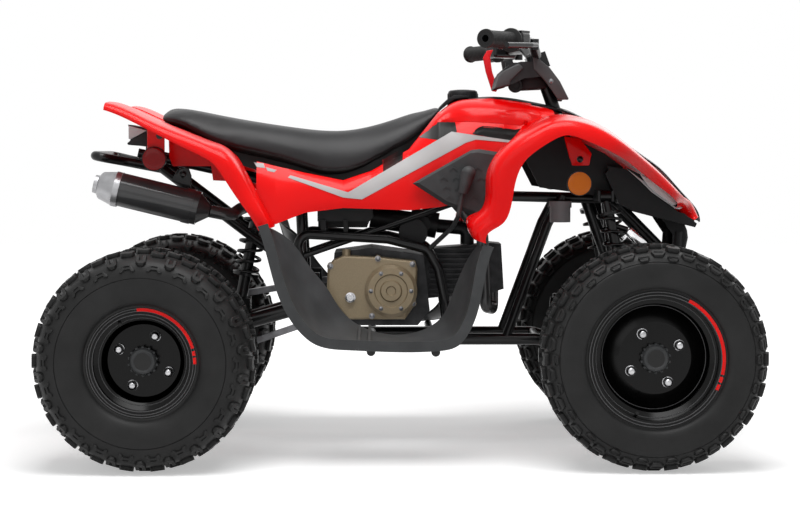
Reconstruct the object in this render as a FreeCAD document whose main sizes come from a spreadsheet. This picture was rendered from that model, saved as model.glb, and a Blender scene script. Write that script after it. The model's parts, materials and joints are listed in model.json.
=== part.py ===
"""Youth quad bike: four lugged tyres, double-arm front suspension, swingarm rear with one solid axle.

Millimetres. +X forward, +Y to the rider's left, +Z up. The origin is on the ground, under the
centre of the overall box. The rider's right is the -Y side.
"""
import FreeCAD, Part
import Sketcher
import math
import os

from FreeCAD import Placement, Rotation, Vector

os.makedirs("parts", exist_ok=True)
doc = FreeCAD.newDocument("quad_bike")
sheet = doc.addObject("Spreadsheet::Sheet", "Sizes")

SIZES = {
    # Wheels and axles
    "wheelbase": 1026,
    "rear_track": 668,
    "front_track": 700,
    "rear_tyre_radius": 224,
    "front_tyre_radius": 229,
    "rear_tyre_width": 241,
    "front_tyre_width": 178,
    "lug_height": 12,
    "tyre_wall": 9,
    "rear_rim_radius": 111,
    "front_rim_radius": 138,
    "rim_flange_height": 11,
    "rim_wall": 3,
    "rim_bead_width": 17,
    "rim_well_depth": 14,
    "rim_well_slope": 10,
    "lug_count": 18,
    "rear_rim_width": 196,
    "front_rim_width": 148,
    "rear_disc_out": 46,
    "front_disc_out": 38,
    "wheel_stud_circle": 110,
    "stud_radius": 5,
    "nut_radius": 10,
    "hub_radius": 30,
    "hub_flange_radius": 68,
    "hub_flange_thick": 8,
    "hub_cap_radius": 26,
    # Rear axle, sprocket, brake disc and chain
    "axle_radius": 15,
    "running_gap": 0.08,
    "bolt_gap": 0.3,
    "axle_housing_radius": 36,
    "axle_housing_half": 70,
    "sprocket_teeth": 28,
    "chain_pitch": 15.875,
    "sprocket_thick": 6,
    "sprocket_y": 112,
    "drive_sprocket_teeth": 14,
    "rear_disc_radius": 80,
    "brake_disc_thick": 4,
    "rear_brake_y": 100,
    # Front corner
    "front_disc_radius": 72,
    "spindle_radius": 10,
    "kingpin_radius": 6,
    "ball_joint_radius": 15,
    "knuckle_arm": 70,
    "pitman_arm": 56,
    "tie_rod_radius": 7,
    # Steering
    "column_radius": 14,
    "column_tilt": 20,
    "bar_radius": 11,
    "grip_radius": 17,
    "grip_length": 118,
    "bar_half": 335,
    "bar_end_bore": 7.5,
    "bar_end_depth": 32,
    # Frame tubes
    "rail_radius": 12.5,
    "frame_tube_radius": 10,
    "brace_radius": 6,
    "foot_bar_radius": 9,
    "rail_y": 84,
    "rail_z": 238,
    "arch_y": 103,
    # Panels
    "panel_wall": 3.5,
    "strip_half": 58,
    # Exhaust
    "silencer_radius": 35,
    "silencer_length": 200,
    "silencer_cap_length": 34,
    "exhaust_radius": 13,
}
for row, (alias, value) in enumerate(SIZES.items(), start=1):
    sheet.set(f"A{row}", alias)
    sheet.set(f"B{row}", str(value))
    sheet.setAlias(f"B{row}", alias)
doc.recompute()


class Reader:
    """Reads a size from the sheet by its alias."""

    def __getattr__(self, alias):
        return float(sheet.get(alias))


s = Reader()
X_REAR = -(s.wheelbase + s.front_tyre_radius - s.rear_tyre_radius) / 2
X_FRONT = X_REAR + s.wheelbase
Z_REAR = s.rear_tyre_radius
Z_FRONT = s.front_tyre_radius
LEFT, RIGHT = 1, -1
LUG_TAPER = 0.78
REAR_STUD_ANGLE = 25
FRONT_STUD_ANGLE = 62
nodes = {}


def front(x):
    """A place measured from the front axle, given as it lies at the nominal wheelbase."""
    return X_FRONT + x - 510.5


def rear(x):
    """A place measured from the rear axle, given as it lies at the nominal wheelbase."""
    return X_REAR + x + 515.5


def keep(label, shape, placement=None):
    """One named sub-part made from a finished shape."""
    item = doc.addObject("Part::Feature", label)
    item.Label = label
    item.Shape = shape
    if placement is not None:
        item.Placement = placement
    nodes[label] = item
    return item


def rod(start, end, radius):
    """A solid round bar between two points."""
    a, b = Vector(*start), Vector(*end)
    return Part.makeCylinder(radius, (b - a).Length, a, b - a)


def ring(start, end, radius, bore):
    """A sleeve between two points."""
    return rod(start, end, radius).cut(rod(start, end, bore))


def block(x, y, z, dx, dy, dz):
    """A box from its lowest corner."""
    return Part.makeBox(dx, dy, dz, Vector(x, y, z))


def fused(shapes):
    """All the shapes as one solid."""
    whole = shapes[0].multiFuse(shapes[1:]) if len(shapes) > 1 else shapes[0]
    refined = whole.removeSplitter()
    return refined if refined.isValid() else whole


def largest(shape):
    """The biggest solid of a cut shape."""
    return max(shape.Solids, key=lambda part: part.Volume)


def mirrored(shape):
    """The same shape on the other side of the bike."""
    return shape.mirror(Vector(0, 0, 0), Vector(0, 1, 0))


def both(shape):
    """The shape and its mirror image, as two separate solids."""
    return Part.makeCompound(shape.Solids + mirrored(shape).Solids)


def turned_copies(shape, count):
    """Copies of a shape spread evenly about the Y axis."""
    copies = []
    for k in range(count):
        copy = shape.copy()
        copy.rotate(Vector(0, 0, 0), Vector(0, 1, 0), 360 * k / count)
        copies.append(copy)
    return copies


def bent(points, radius, bend):
    """A round tube along straight runs joined by tangent arcs."""
    pts = [Vector(*p) for p in points]
    edges = []
    start = pts[0]
    for before, corner, after in zip(pts, pts[1:], pts[2:]):
        back = (before - corner).normalize()
        ahead = (after - corner).normalize()
        half = back.getAngle(ahead) / 2
        trim = min(
            bend / math.tan(half),
            0.45 * min((before - corner).Length, (after - corner).Length),
        )
        inward = (back + ahead).normalize()
        reach = trim * math.tan(half)
        middle = corner + inward * (math.hypot(trim, reach) - reach)
        a, b = corner + back * trim, corner + ahead * trim
        edges.append(Part.LineSegment(start, a).toShape())
        edges.append(Part.Arc(a, middle, b).toShape())
        start = b
    edges.append(Part.LineSegment(start, pts[-1]).toShape())
    path = Part.Wire(edges)
    circle = Part.Wire([Part.makeCircle(radius, pts[0], pts[1] - pts[0])])
    return path.makePipeShell([circle], True, False)


def smooth(points):
    """One smooth edge through the points."""
    curve = Part.BSplineCurve()
    curve.interpolate(points)
    return curve.toShape()


def closed_section(outer, inner):
    """A closed thin section from its two long sides."""
    return Part.Wire(
        [
            smooth(outer),
            Part.LineSegment(outer[-1], inner[-1]).toShape(),
            smooth(inner[::-1]),
            Part.LineSegment(inner[0], outer[0]).toShape(),
        ]
    )


def lipped_panel(stations, wall, corner, crown=0.0):
    """A moulded panel with a rolled outer lip, lofted along its path.

    A station is (surface x, surface z, lip x, lip z, inner y, outer y, rise of the inner edge).
    """
    wires = []
    for ox, oz, ix, iz, y_in, y_out, rise in stations:
        o = Vector(ox, 0, oz)
        d = Vector(ix - ox, 0, iz - oz)
        depth = d.Length
        d.normalize()
        y = Vector(0, 1, 0)
        turn = min(corner, 0.55 * depth)
        flat = y_out - corner
        middle = (y_in + flat) / 2
        outer = [
            o + y * y_in - d * rise,
            o + y * middle - d * (0.35 * rise + crown),
            o + y * flat - d * crown * 0.4,
            o + y * (y_out - 0.28 * corner) + d * (0.3 * turn),
            o + y * y_out + d * turn,
            o + y * (y_out + 1) + d * depth,
        ]
        shift = [d, d, d, (d - y) * 0.71, -y, -y]
        inner = [p + v * wall for p, v in zip(outer, shift)]
        wires.append(closed_section(outer, inner))
    return Part.makeLoft(wires, True, False)


def prism(outline, y_low, y_high):
    """A side outline, given as (x, z), extruded across the bike."""
    pts = [Vector(x, y_low, z) for x, z in outline]
    return Part.Face(Part.makePolygon(pts + pts[:1])).extrude(Vector(0, y_high - y_low, 0))


def turned(profile, centre=(0, 0, 0), axis=(0, 1, 0)):
    """A solid of revolution about the wheel axis. The profile is a list of (y, radius)."""
    pts = [Vector(r, y, 0) for y, r in profile]
    face = Part.Face(Part.makePolygon(pts + pts[:1]))
    solid = face.revolve(Vector(0, 0, 0), Vector(0, 1, 0), 360)
    solid = Part.makeSolid(solid.Shells[0]) if not solid.Solids else solid.Solids[0]
    solid.Placement = Placement(Vector(*centre), Rotation(Vector(0, 1, 0), Vector(*axis)))
    return solid


def profile_body(label, outline, about="V_Axis"):
    """A body revolved from a sketch whose corners are all bound to cells of the sheet.

    The outline is a list of (radius, width position) written as formulas of the sheet's aliases.
    """
    body = doc.addObject("PartDesign::Body", label)
    body.Label = label
    plane = next(f for f in body.Origin.OriginFeatures if f.Role == "XY_Plane")
    sketch = body.newObject("Sketcher::SketchObject", label + "_profile")
    sketch.AttachmentSupport = [(plane, "")]
    sketch.MapMode = "FlatFace"
    values = [(evaluate(rx), evaluate(ry)) for rx, ry in outline]
    count = len(values)
    for k in range(count):
        a, b = values[k], values[(k + 1) % count]
        sketch.addGeometry(Part.LineSegment(Vector(*a, 0), Vector(*b, 0)), False)
    for k in range(count):
        sketch.addConstraint(Sketcher.Constraint("Coincident", k, 2, (k + 1) % count, 1))
    for k, (rx, ry) in enumerate(outline):
        for kind, rule, value in (("DistanceX", rx, values[k][0]), ("DistanceY", ry, values[k][1])):
            index = sketch.addConstraint(Sketcher.Constraint(kind, -1, 1, k, 1, value))
            sketch.setExpression(f"Constraints[{index}]", aliased(rule))
    spin = body.newObject("PartDesign::Revolution", label + "_turned")
    spin.Profile = sketch
    spin.ReferenceAxis = (sketch, [about])
    spin.Angle = 360
    body.Tip = spin
    return body


def aliased(rule):
    """The formula with each alias written as a cell of the sheet."""
    words = sorted(SIZES, key=len, reverse=True)
    out, k = "", 0
    while k < len(rule):
        found = next((w for w in words if rule.startswith(w, k)), None)
        if found:
            out += f"Sizes.{found}"
            k += len(found)
        else:
            out += rule[k]
            k += 1
    return out


def evaluate(rule):
    """The number that a formula of aliases gives now."""
    sheet.set("D1", "=" + rule)
    sheet.recompute()
    return float(sheet.get("D1"))


def corners_round(y, radius, count):
    """Corners of a regular polygon about the wheel axis."""
    step = 2 * math.pi / count
    return [Vector(radius * math.cos(k * step), y, radius * math.sin(k * step)) for k in range(count)]


def flat(corners):
    """A flat face between its corners."""
    return Part.Face(Part.makePolygon(corners + corners[:1]))


def plain_band(near, far):
    """Flat faces between two rings of corners, one of which may have twice as many."""
    few, many = sorted((near, far), key=len)
    faces = []
    for k, corner in enumerate(few):
        after = few[(k + 1) % len(few)]
        if len(few) == len(many):
            faces.append(flat([corner, after, many[(k + 1) % len(many)], many[k]]))
            continue
        first, middle, last = (many[(2 * k + j) % len(many)] for j in range(3))
        faces += [flat([corner, first, middle]), flat([corner, middle, after]), flat([after, middle, last])]
    return faces


def distance_out(start, way, radius):
    """How far a point goes along a direction until it lies at the radius about the Y axis."""
    flat_start = Vector(start.x, 0, start.z)
    flat_way = Vector(way.x, 0, way.z)
    a = flat_way.dot(flat_way)
    b = flat_start.dot(flat_way)
    return (math.sqrt(b * b - a * (flat_start.dot(flat_start) - radius ** 2)) - b) / a


def lugged_band(near, far, tip, phase):
    """A band whose every second face carries a tapered tread block that reaches the tip radius.

    The blocks of the next band are staggered, because its phase differs.
    """
    faces = []
    count = len(near)
    for k in range(count):
        base = [near[k], near[(k + 1) % count], far[(k + 1) % count], far[k]]
        if (k + phase) % 2:
            faces.append(flat(base))
            continue
        middle = (base[0] + base[1] + base[2] + base[3]) * 0.25
        out = (base[1] - base[0]).cross(base[3] - base[0]).normalize()
        if out.dot(Vector(middle.x, 0, middle.z)) < 0:
            out = out * -1
        top = [middle + (corner - middle) * LUG_TAPER for corner in base]
        lift = min([distance_out(corner, out, tip) for corner in top] + [s.lug_height + 2])
        top = [corner + out * lift for corner in top]
        faces.append(flat(top))
        faces += [flat([base[j], base[(j + 1) % 4], top[(j + 1) % 4], top[j]]) for j in range(4)]
    return faces


def tyre(radius, width, rim_radius, rim_width):
    """A knobbly tyre, centred on its wheel: a hollow carcass with four staggered rows of blocks.

    The bead's corners stand out so that its flats clear the round rim.
    """
    few = int(s.lug_count)
    many = 2 * few
    crown = radius - s.lug_height
    bead = (rim_radius - s.rim_flange_height + s.running_gap) / math.cos(math.pi / few)
    seat = rim_width / 2 - s.rim_wall - s.running_gap
    half = width / 2
    wall = s.tyre_wall
    belly = bead + 0.42 * (crown - bead)
    outside = [
        (seat, bead, few),
        (seat, bead + s.rim_flange_height + 3, few),
        (half, belly, few),
        (half - 0.7 * s.lug_height, belly + 0.5 * (crown - belly), many),
        (0.7 * half, crown - 0.5 * s.lug_height, many),
    ]
    inside = [
        (0.62 * half, crown - 1.6 * wall, few),
        (half - wall, belly, few),
        (seat - wall, bead, few),
    ]
    loop = outside + [(0, crown, many)]
    loop += [(-y, r, n) for y, r, n in outside[::-1]]
    loop += [(-y, r, n) for y, r, n in inside[::-1]] + inside
    rings = [corners_round(*row) for row in loop]
    first_lugged = len(outside) - 2
    faces = []
    for k, ring_here in enumerate(rings):
        ring_next = rings[(k + 1) % len(rings)]
        if first_lugged <= k < first_lugged + 4:
            faces += lugged_band(ring_here, ring_next, radius, k)
        else:
            faces += plain_band(ring_here, ring_next)
    shell = Part.makeShell(faces)
    shell.sewShape()
    return Part.makeSolid(shell)


def set_rim(name, half_width, flange_radius, disc_out):
    """A pressed wheel as a body: flanged barrel with its drop centre, dished disc and four stud holes."""
    seat = f"{flange_radius} - rim_flange_height"
    well = f"{seat} - rim_well_depth"
    shoulder = f"{half_width} - rim_wall - rim_bead_width"
    foot = f"{half_width} - rim_wall - rim_bead_width - rim_well_slope"
    body = profile_body(
        name,
        [
            (flange_radius, half_width),
            (flange_radius, f"{half_width} - rim_wall"),
            (seat, f"{half_width} - rim_wall"),
            (seat, shoulder),
            (well, foot),
            (well, f"0 - ({foot})"),
            (seat, f"0 - ({shoulder})"),
            (seat, f"rim_wall - {half_width}"),
            (flange_radius, f"rim_wall - {half_width}"),
            (flange_radius, f"0 - {half_width}"),
            (f"{seat} - rim_wall", f"0 - {half_width}"),
            (f"{seat} - rim_wall", f"0 - ({shoulder}) + 1"),
            (f"{well} - rim_wall", f"0 - ({foot}) + 1"),
            (f"{well} - rim_wall", f"{disc_out} - 24"),
            ("hub_flange_radius + 3", f"{disc_out} - rim_wall"),
            ("hub_cap_radius + running_gap", f"{disc_out} - rim_wall"),
            ("hub_cap_radius + running_gap", disc_out),
            ("hub_flange_radius + 5", disc_out),
            (f"{well} - rim_wall", f"{disc_out} - 18"),
            (f"{well} - rim_wall", f"{foot} - 1"),
            (f"{seat} - rim_wall", f"{shoulder} - 1"),
            (f"{seat} - rim_wall", half_width),
        ],
    )
    plane = next(f for f in body.Origin.OriginFeatures if f.Role == "XZ_Plane")
    sketch = body.newObject("Sketcher::SketchObject", name + "_stud_hole")
    sketch.AttachmentSupport = [(plane, "")]
    sketch.MapMode = "FlatFace"
    centre = s.wheel_stud_circle / 2
    sketch.addGeometry(Part.Circle(Vector(centre, 0, 0), Vector(0, 0, 1), s.stud_radius + s.bolt_gap), False)
    index = sketch.addConstraint(Sketcher.Constraint("Radius", 0, s.stud_radius + s.bolt_gap))
    sketch.setExpression(f"Constraints[{index}]", "Sizes.stud_radius + Sizes.bolt_gap")
    index = sketch.addConstraint(Sketcher.Constraint("DistanceX", -1, 1, 0, 3, centre))
    sketch.setExpression(f"Constraints[{index}]", "Sizes.wheel_stud_circle / 2")
    sketch.addConstraint(Sketcher.Constraint("PointOnObject", 0, 3, -1))
    hole = body.newObject("PartDesign::Pocket", name + "_hole")
    hole.Profile = sketch
    hole.Type = "ThroughAll"
    hole.Midplane = True
    ring_of = body.newObject("PartDesign::PolarPattern", name + "_holes")
    ring_of.Originals = [hole]
    ring_of.Axis = (next(f for f in body.Origin.OriginFeatures if f.Role == "Y_Axis"), [""])
    ring_of.Angle = 360
    ring_of.Occurrences = 4
    body.Tip = ring_of
    nodes[name] = body
    return body


def set_at(item, x, y, z, side=LEFT):
    """Puts a wheel part at its place, with its outer face outwards."""
    turn = 0 if side == LEFT else 180
    item.Placement = Placement(Vector(x, y, z), Rotation(Vector(0, 0, 1), turn))


def outer_hub(y_in, y_face, wall, cap, stud_angle):
    """A wheel hub turned in one piece with its flange, four studs with nuts, and the capped nose.

    y_face is the plane that the wheel's disc sits against, and wall that disc's thickness.
    """
    flange = s.hub_flange_thick
    hub = turned(
        [
            (y_in, 0),
            (y_in, s.hub_radius),
            (y_face - flange, s.hub_radius + 4),
            (y_face - flange, s.hub_flange_radius),
            (y_face, s.hub_flange_radius),
            (y_face, s.hub_cap_radius),
            (y_face + wall + cap - 4, s.hub_cap_radius),
            (y_face + wall + cap, s.hub_cap_radius - 5),
            (y_face + wall + cap, 0),
        ]
    )
    studs = []
    for k in range(4):
        angle = math.radians(stud_angle + 90 * k)
        x = math.cos(angle) * s.wheel_stud_circle / 2
        z = math.sin(angle) * s.wheel_stud_circle / 2
        studs.append(rod((x, y_face - 2, z), (x, y_face + wall + 16, z), s.stud_radius))
        studs.append(rod((x, y_face + wall, z), (x, y_face + wall + 11, z), s.nut_radius))
    return fused([hub] + studs)


# Wheels: rims and tyres, each rim turned to its hub's studs
WHEELS = {
    "rear": (X_REAR, s.rear_track / 2, Z_REAR, REAR_STUD_ANGLE),
    "front": (X_FRONT, s.front_track / 2, Z_FRONT, FRONT_STUD_ANGLE),
}
for end, (x, y, z, stud_angle) in WHEELS.items():
    radius, width = getattr(s, f"{end}_tyre_radius"), getattr(s, f"{end}_tyre_width")
    rim_radius, rim_width = getattr(s, f"{end}_rim_radius"), getattr(s, f"{end}_rim_width")
    rubber = tyre(radius, width, rim_radius, rim_width)
    for side, word in ((LEFT, "left"), (RIGHT, "right")):
        rim = set_rim(f"rim_{end}_{word}", f"{end}_rim_width / 2", f"{end}_rim_radius", f"{end}_disc_out")
        set_at(rim, x, side * y, z, side)
        rim.Placement.Rotation = rim.Placement.Rotation.multiply(Rotation(Vector(0, 1, 0), -stud_angle))
        set_at(keep(f"tyre_{end}_{word}", rubber), x, side * y, z, side)

# Front hub with its brake disc, in the wheel's own frame
FRONT_FACE = s.front_disc_out - s.rim_wall
KINGPIN_Y = 262
HUB_IN = KINGPIN_Y + 24 - s.front_track / 2
SPINDLE_END = FRONT_FACE - 12
front_hub = outer_hub(HUB_IN, FRONT_FACE, s.rim_wall, 20, FRONT_STUD_ANGLE)
DISC_Y = HUB_IN + 6
front_disc = ring((0, DISC_Y, 0), (0, DISC_Y + s.brake_disc_thick, 0), s.front_disc_radius, s.hub_radius - 4)
disc_bores = turned_copies(rod((56, DISC_Y - 1, 0), (56, DISC_Y + s.brake_disc_thick + 1, 0), 7), 8)
front_hub = fused([front_hub, front_disc]).cut(Part.makeCompound(disc_bores))
front_hub = front_hub.cut(rod((0, HUB_IN - 1, 0), (0, SPINDLE_END, 0), s.spindle_radius + s.running_gap))
for side, word in ((LEFT, "left"), (RIGHT, "right")):
    set_at(keep(f"hub_front_{word}", front_hub), X_FRONT, side * s.front_track / 2, Z_FRONT, side)

# Knuckles: kingpin post, spindle, steering arm and brake caliper
UPPER_BALL_Z = Z_FRONT + 56
LOWER_BALL_Z = Z_FRONT - 50
ARM_TOP = Z_FRONT + 34


def knuckle():
    """The left steering knuckle."""
    x, y, z = X_FRONT, KINGPIN_Y, Z_FRONT
    low, high = LOWER_BALL_Z + 12, UPPER_BALL_Z - 9
    post = rod((x, y, low), (x, y, high), 17)
    spindle = rod((x, y, z), (x, s.front_track / 2 + SPINDLE_END - 2, z), s.spindle_radius)
    collar = rod((x, y, z), (x, y + 22, z), 24)
    arm = block(x - s.knuckle_arm, y - 24, ARM_TOP - 12, s.knuckle_arm, 18, 12)
    end = Part.makeCylinder(13, 12, Vector(x - s.knuckle_arm, y - 15, ARM_TOP - 12))
    root = block(x - 18, y - 22, ARM_TOP - 12, 30, 24, 12)
    bracket = block(x - 92, y + 6, z - 24, 84, 8, 34)
    caliper = block(x - 94, y + 6, z - 28, 26, 46, 48)
    disc = s.front_track / 2 + DISC_Y
    slot = block(x - 84, disc - 5, z - 40, 40, s.brake_disc_thick + 10, 80)
    body = fused([post, spindle, collar, arm, end, root, bracket, caliper.cut(slot)])
    pins = [
        rod((x, y, low - 1), (x, y, low + 22), s.kingpin_radius + s.running_gap),
        rod((x, y, high - 18), (x, y, high + 1), s.kingpin_radius + s.running_gap),
    ]
    return body.cut(Part.makeCompound(pins))


left_knuckle = knuckle()
keep("knuckle_left", left_knuckle)
keep("knuckle_right", mirrored(left_knuckle))

# Suspension arms, each pair with its ball studs
ARM_Y = 102


def arm_leg(eye, ball, radius):
    """One leg of an arm, from inside its eye to the ball joint. The eye is bored afterwards."""
    a, b = Vector(*eye), Vector(*ball)
    start = a + (b - a).normalize() * 2
    return rod(tuple(start), tuple(b), radius)


def upper_arm():
    """The left upper arm."""
    x, y, z = X_FRONT, KINGPIN_Y, UPPER_BALL_Z
    boss = rod((x, y, z - 8), (x, y, z + 12), s.ball_joint_radius)
    stud = rod((x, y, z - 24), (x, y, z), s.kingpin_radius)
    legs = [arm_leg((front(at), ARM_Y, z + 16), (x, y, z + 3), 8) for at in (372, 578)]
    eyes = [rod((front(at) - 16, ARM_Y, z + 16), (front(at) + 16, ARM_Y, z + 16), 13) for at in (372, 578)]
    bores = [rod((front(at) - 30, ARM_Y, z + 16), (front(at) + 30, ARM_Y, z + 16), 5.2) for at in (372, 578)]
    return fused([boss, stud] + legs + eyes).cut(Part.makeCompound(bores))


def lower_arm():
    """The left lower arm with the shock absorber's mount."""
    x, y, z = X_FRONT, KINGPIN_Y, LOWER_BALL_Z
    boss = rod((x, y, z - 14), (x, y, z + 11), s.ball_joint_radius)
    stud = rod((x, y, z), (x, y, z + 30), s.kingpin_radius)
    legs = [arm_leg((front(at), ARM_Y, z + 12), (x, y, z - 1), 9) for at in (430, 590)]
    legs.append(rod((front(480), 206, z + 4), (front(541), 206, z + 4), 8))
    eyes = [rod((front(at) - 18, ARM_Y, z + 12), (front(at) + 18, ARM_Y, z + 12), 14) for at in (430, 590)]
    bores = [rod((front(at) - 30, ARM_Y, z + 12), (front(at) + 30, ARM_Y, z + 12), 5.2) for at in (430, 590)]
    tabs = [
        block(front(486), 196, z + 1, 4.5, 22, 32),
        block(front(519), 196, z + 1, 4.5, 22, 32),
        rod((front(485), 207, z + 24), (front(525), 207, z + 24), 4.5),
    ]
    return fused([boss, stud] + legs + eyes).cut(Part.makeCompound(bores)).multiFuse(tabs)


left_upper, left_lower = upper_arm(), lower_arm()
keep("arm_upper_left", left_upper)
keep("arm_upper_right", mirrored(left_upper))
keep("arm_lower_left", left_lower)
keep("arm_lower_right", mirrored(left_lower))


def coil(z_from, z_to, radius, wire, turns):
    """An open coil spring about +Z."""
    helix = Part.makeHelix((z_to - z_from) / turns, z_to - z_from, radius)
    circle = Part.Wire([Part.makeCircle(wire, Vector(radius, 0, 0), Vector(0, 1, 0))])
    solid = Part.Wire(helix.Edges).makePipeShell([circle], True, True)
    solid.translate(Vector(0, 0, z_from))
    return solid


def shock(top, bottom, body_radius, spring_radius, spring_from, spring_to, eye_axis):
    """A coil-over shock absorber: damper, two spring plates, the coil and two eyes."""
    a, b = Vector(*top), Vector(*bottom)
    length = (b - a).Length
    turn = Rotation(Vector(0, 0, 1), b - a)
    eye = turn.inverted().multVec(Vector(*eye_axis))
    foot = Vector(0, 0, length)

    def up(low, high, radius):
        return rod((0, 0, low), (0, 0, high), radius)

    def eye_ring(centre, radius, bore, half):
        return ring(tuple(centre - eye * half), tuple(centre + eye * half), radius, bore)

    solids = [
        up(9, spring_from + 1, body_radius - 3),
        up(spring_from, length - 8, body_radius),
        up(spring_from - 6, spring_from, spring_radius + 4),
        up(spring_to, spring_to + 6, spring_radius + 4),
    ]
    whole = fused(solids + [coil(spring_from - 3, spring_to + 3, spring_radius, 3.5, 6)])
    whole = fused([whole, eye_ring(Vector(0, 0, 0), 13, 5.3, 11), eye_ring(foot, 12, 4.8, 11)])
    whole.Placement = Placement(a, turn)
    return whole


SHOCK_TOP = (front(434), 172, 548)
SHOCK_FOOT = (front(505), 207, LOWER_BALL_Z + 24)
left_shock = shock(SHOCK_TOP, SHOCK_FOOT, 11, 22, 40, 205, (1, 0, 0))
RESERVOIR_TOP = (front(481), 181, 478)
reservoir = [
    rod(RESERVOIR_TOP, (front(518), 187, 440), 10.5),
    rod((front(450), 176, 488), RESERVOIR_TOP, 6),
]
left_shock = fused([left_shock] + reservoir)
keep("shock_front_left", left_shock)
keep("shock_front_right", mirrored(left_shock))

# Steering: column with its pitman arm, tie rods, handlebar
TILT = math.radians(s.column_tilt)
COLUMN_TOP = Vector(front(300), 0, 846)


def on_column(distance):
    """A point that far below the column's top."""
    return COLUMN_TOP + Vector(math.sin(TILT), 0, -math.cos(TILT)) * distance


COLUMN_FOOT = on_column((COLUMN_TOP.z - 288) / math.cos(TILT))
BACK = Vector(-math.cos(TILT), 0, -math.sin(TILT))
UP = Vector(-math.sin(TILT), 0, math.cos(TILT))
PITMAN = COLUMN_FOOT + BACK * s.pitman_arm
column = rod(tuple(COLUMN_FOOT - UP * 6), tuple(on_column(14)), s.column_radius)
arm_plate = Part.makeBox(s.pitman_arm + 4, 60, 8, Vector(0, -30, -4))
arm_plate.Placement = Placement(COLUMN_FOOT, Rotation(BACK, Vector(0, 1, 0), UP, "XZY"))
clamp = block(-22, -24, -20, 44, 48, 34)
clamp.Placement = Placement(on_column(6), Rotation(Vector(0, 1, 0), -s.column_tilt))
joint_studs = []
for y in (-18, 18):
    ball = PITMAN + Vector(0, y, 0)
    joint_studs.append(rod(tuple(ball + UP * 3), tuple(ball - UP * 22), 5))
column = fused([column, arm_plate, clamp] + joint_studs)
BAR_Z = 868
BAR_MID = Vector(front(296), 0, BAR_Z - 18)
column = column.cut(rod((BAR_MID.x, -60, BAR_MID.z), (BAR_MID.x, 60, BAR_MID.z), s.bar_radius + 0.1))
keep("steering_column", column)


def bar_points(side):
    """Corners of half the handlebar, from its middle outwards."""
    return [
        (BAR_MID.x, side * 0, BAR_MID.z),
        (BAR_MID.x, side * 62, BAR_MID.z),
        (BAR_MID.x - 12, side * 118, BAR_Z + 4),
        (BAR_MID.x - 30, side * 175, BAR_Z + 6),
        (front(171), side * s.bar_half, BAR_Z + 3),
    ]


half_bar = bar_points(RIGHT)[::-1][:-1] + bar_points(LEFT)[1:]
handlebar = bent(half_bar, s.bar_radius, 40)
bar_axis = {}
for side in (LEFT, RIGHT):
    a, b = Vector(*bar_points(side)[-2]), Vector(*bar_points(side)[-1])
    bar_axis[side] = (b, (a - b).normalize())
    end, inward = bar_axis[side]
    handlebar = handlebar.cut(rod(tuple(end - inward), tuple(end + inward * s.bar_end_depth), s.bar_end_bore))
keep("handlebar", handlebar)
for side, word in ((LEFT, "left"), (RIGHT, "right")):
    end, inward = bar_axis[side]
    grip = rod(tuple(end), tuple(end + inward * s.grip_length), s.grip_radius)
    flange_at = end + inward * (s.grip_length - 6)
    flange = rod(tuple(flange_at), tuple(flange_at + inward * 6), s.grip_radius + 8)
    grip = fused([grip, flange]).cut(
        rod(tuple(end - inward), tuple(end + inward * (s.grip_length + 1)), s.bar_radius + 0.1)
    )
    keep(f"grip_{word}", grip)
    box_at = end + inward * (s.grip_length + 4)
    ahead = Vector(0, 0, 1).cross(inward).normalize() * side
    rear_edge = -40 if side == LEFT else -22
    housing = Part.makeBox(42, 62, 34, Vector(0, rear_edge, -17))
    housing = housing.makeFillet(7, housing.Edges)
    lid = Part.makeBox(38, 58, 5, Vector(2, rear_edge + 2, 15))
    housing = fused([housing, lid])
    housing.Placement = Placement(box_at, Rotation(inward, ahead, Vector(0, 0, 1), "XZY"))
    lever = bent(
        [
            tuple(box_at + inward * 24 + ahead * 12 - Vector(0, 0, 8)),
            tuple(box_at + inward * 20 + ahead * 48 - Vector(0, 0, 10)),
            tuple(box_at - inward * 20 + ahead * 52 - Vector(0, 0, 12)),
            tuple(box_at - inward * 112 + ahead * 44 - Vector(0, 0, 14)),
        ],
        5.5,
        16,
    )
    pivot_lug = rod(
        tuple(box_at + inward * 22 + ahead * 40 - Vector(0, 0, 20)),
        tuple(box_at + inward * 22 + ahead * 40 + Vector(0, 0, 2)),
        9,
    )
    box = fused([housing, lever, pivot_lug]).cut(
        rod(tuple(box_at - inward), tuple(box_at + inward * 46), s.bar_radius + 0.1)
    )
    keep(f"lever_{word}", box)

SHIELD = [(292, 850), (306, 844), (326, 824), (343, 802), (370, 757), (350, 757), (328, 788), (292, 828)]
SHIELD_HALF = 62


def shield_section(y):
    """The shield's side outline at y. Its middle stands forward and its sides fall back."""
    back = 9 * (y / SHIELD_HALF) ** 2
    return Part.makePolygon([Vector(x - back, y, z) for x, z in SHIELD + SHIELD[:1]])


shield = Part.makeLoft([shield_section(y) for y in (-62, -40, 0, 40, 62)], True, False)
HOUSING = [(206, 779), (219, 814), (236, 829), (262, 836), (300, 836), (322, 806), (269, 800), (245, 788)]
housing = prism(HOUSING, -74, 74)
hollow = prism([(x, z - s.panel_wall - 1) for x, z in HOUSING[:5]] + [(330, 780), (206, 770)], -70, 70)
pod = fused([shield, housing.cut(hollow)])
pod = fused([pod, block(232, -30, 806, 76, 60, 30), rod((244, 0, 800), (236, 0, 842), 13)])
pod = pod.cut(rod(tuple(COLUMN_FOOT), tuple(on_column(-20)), s.column_radius + 1))
pod = largest(pod.cut(handlebar).cut(column))
keep("bar_pod", pod)

TIE_Y = KINGPIN_Y - 15
TIE_Z = ARM_TOP + 10


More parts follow.
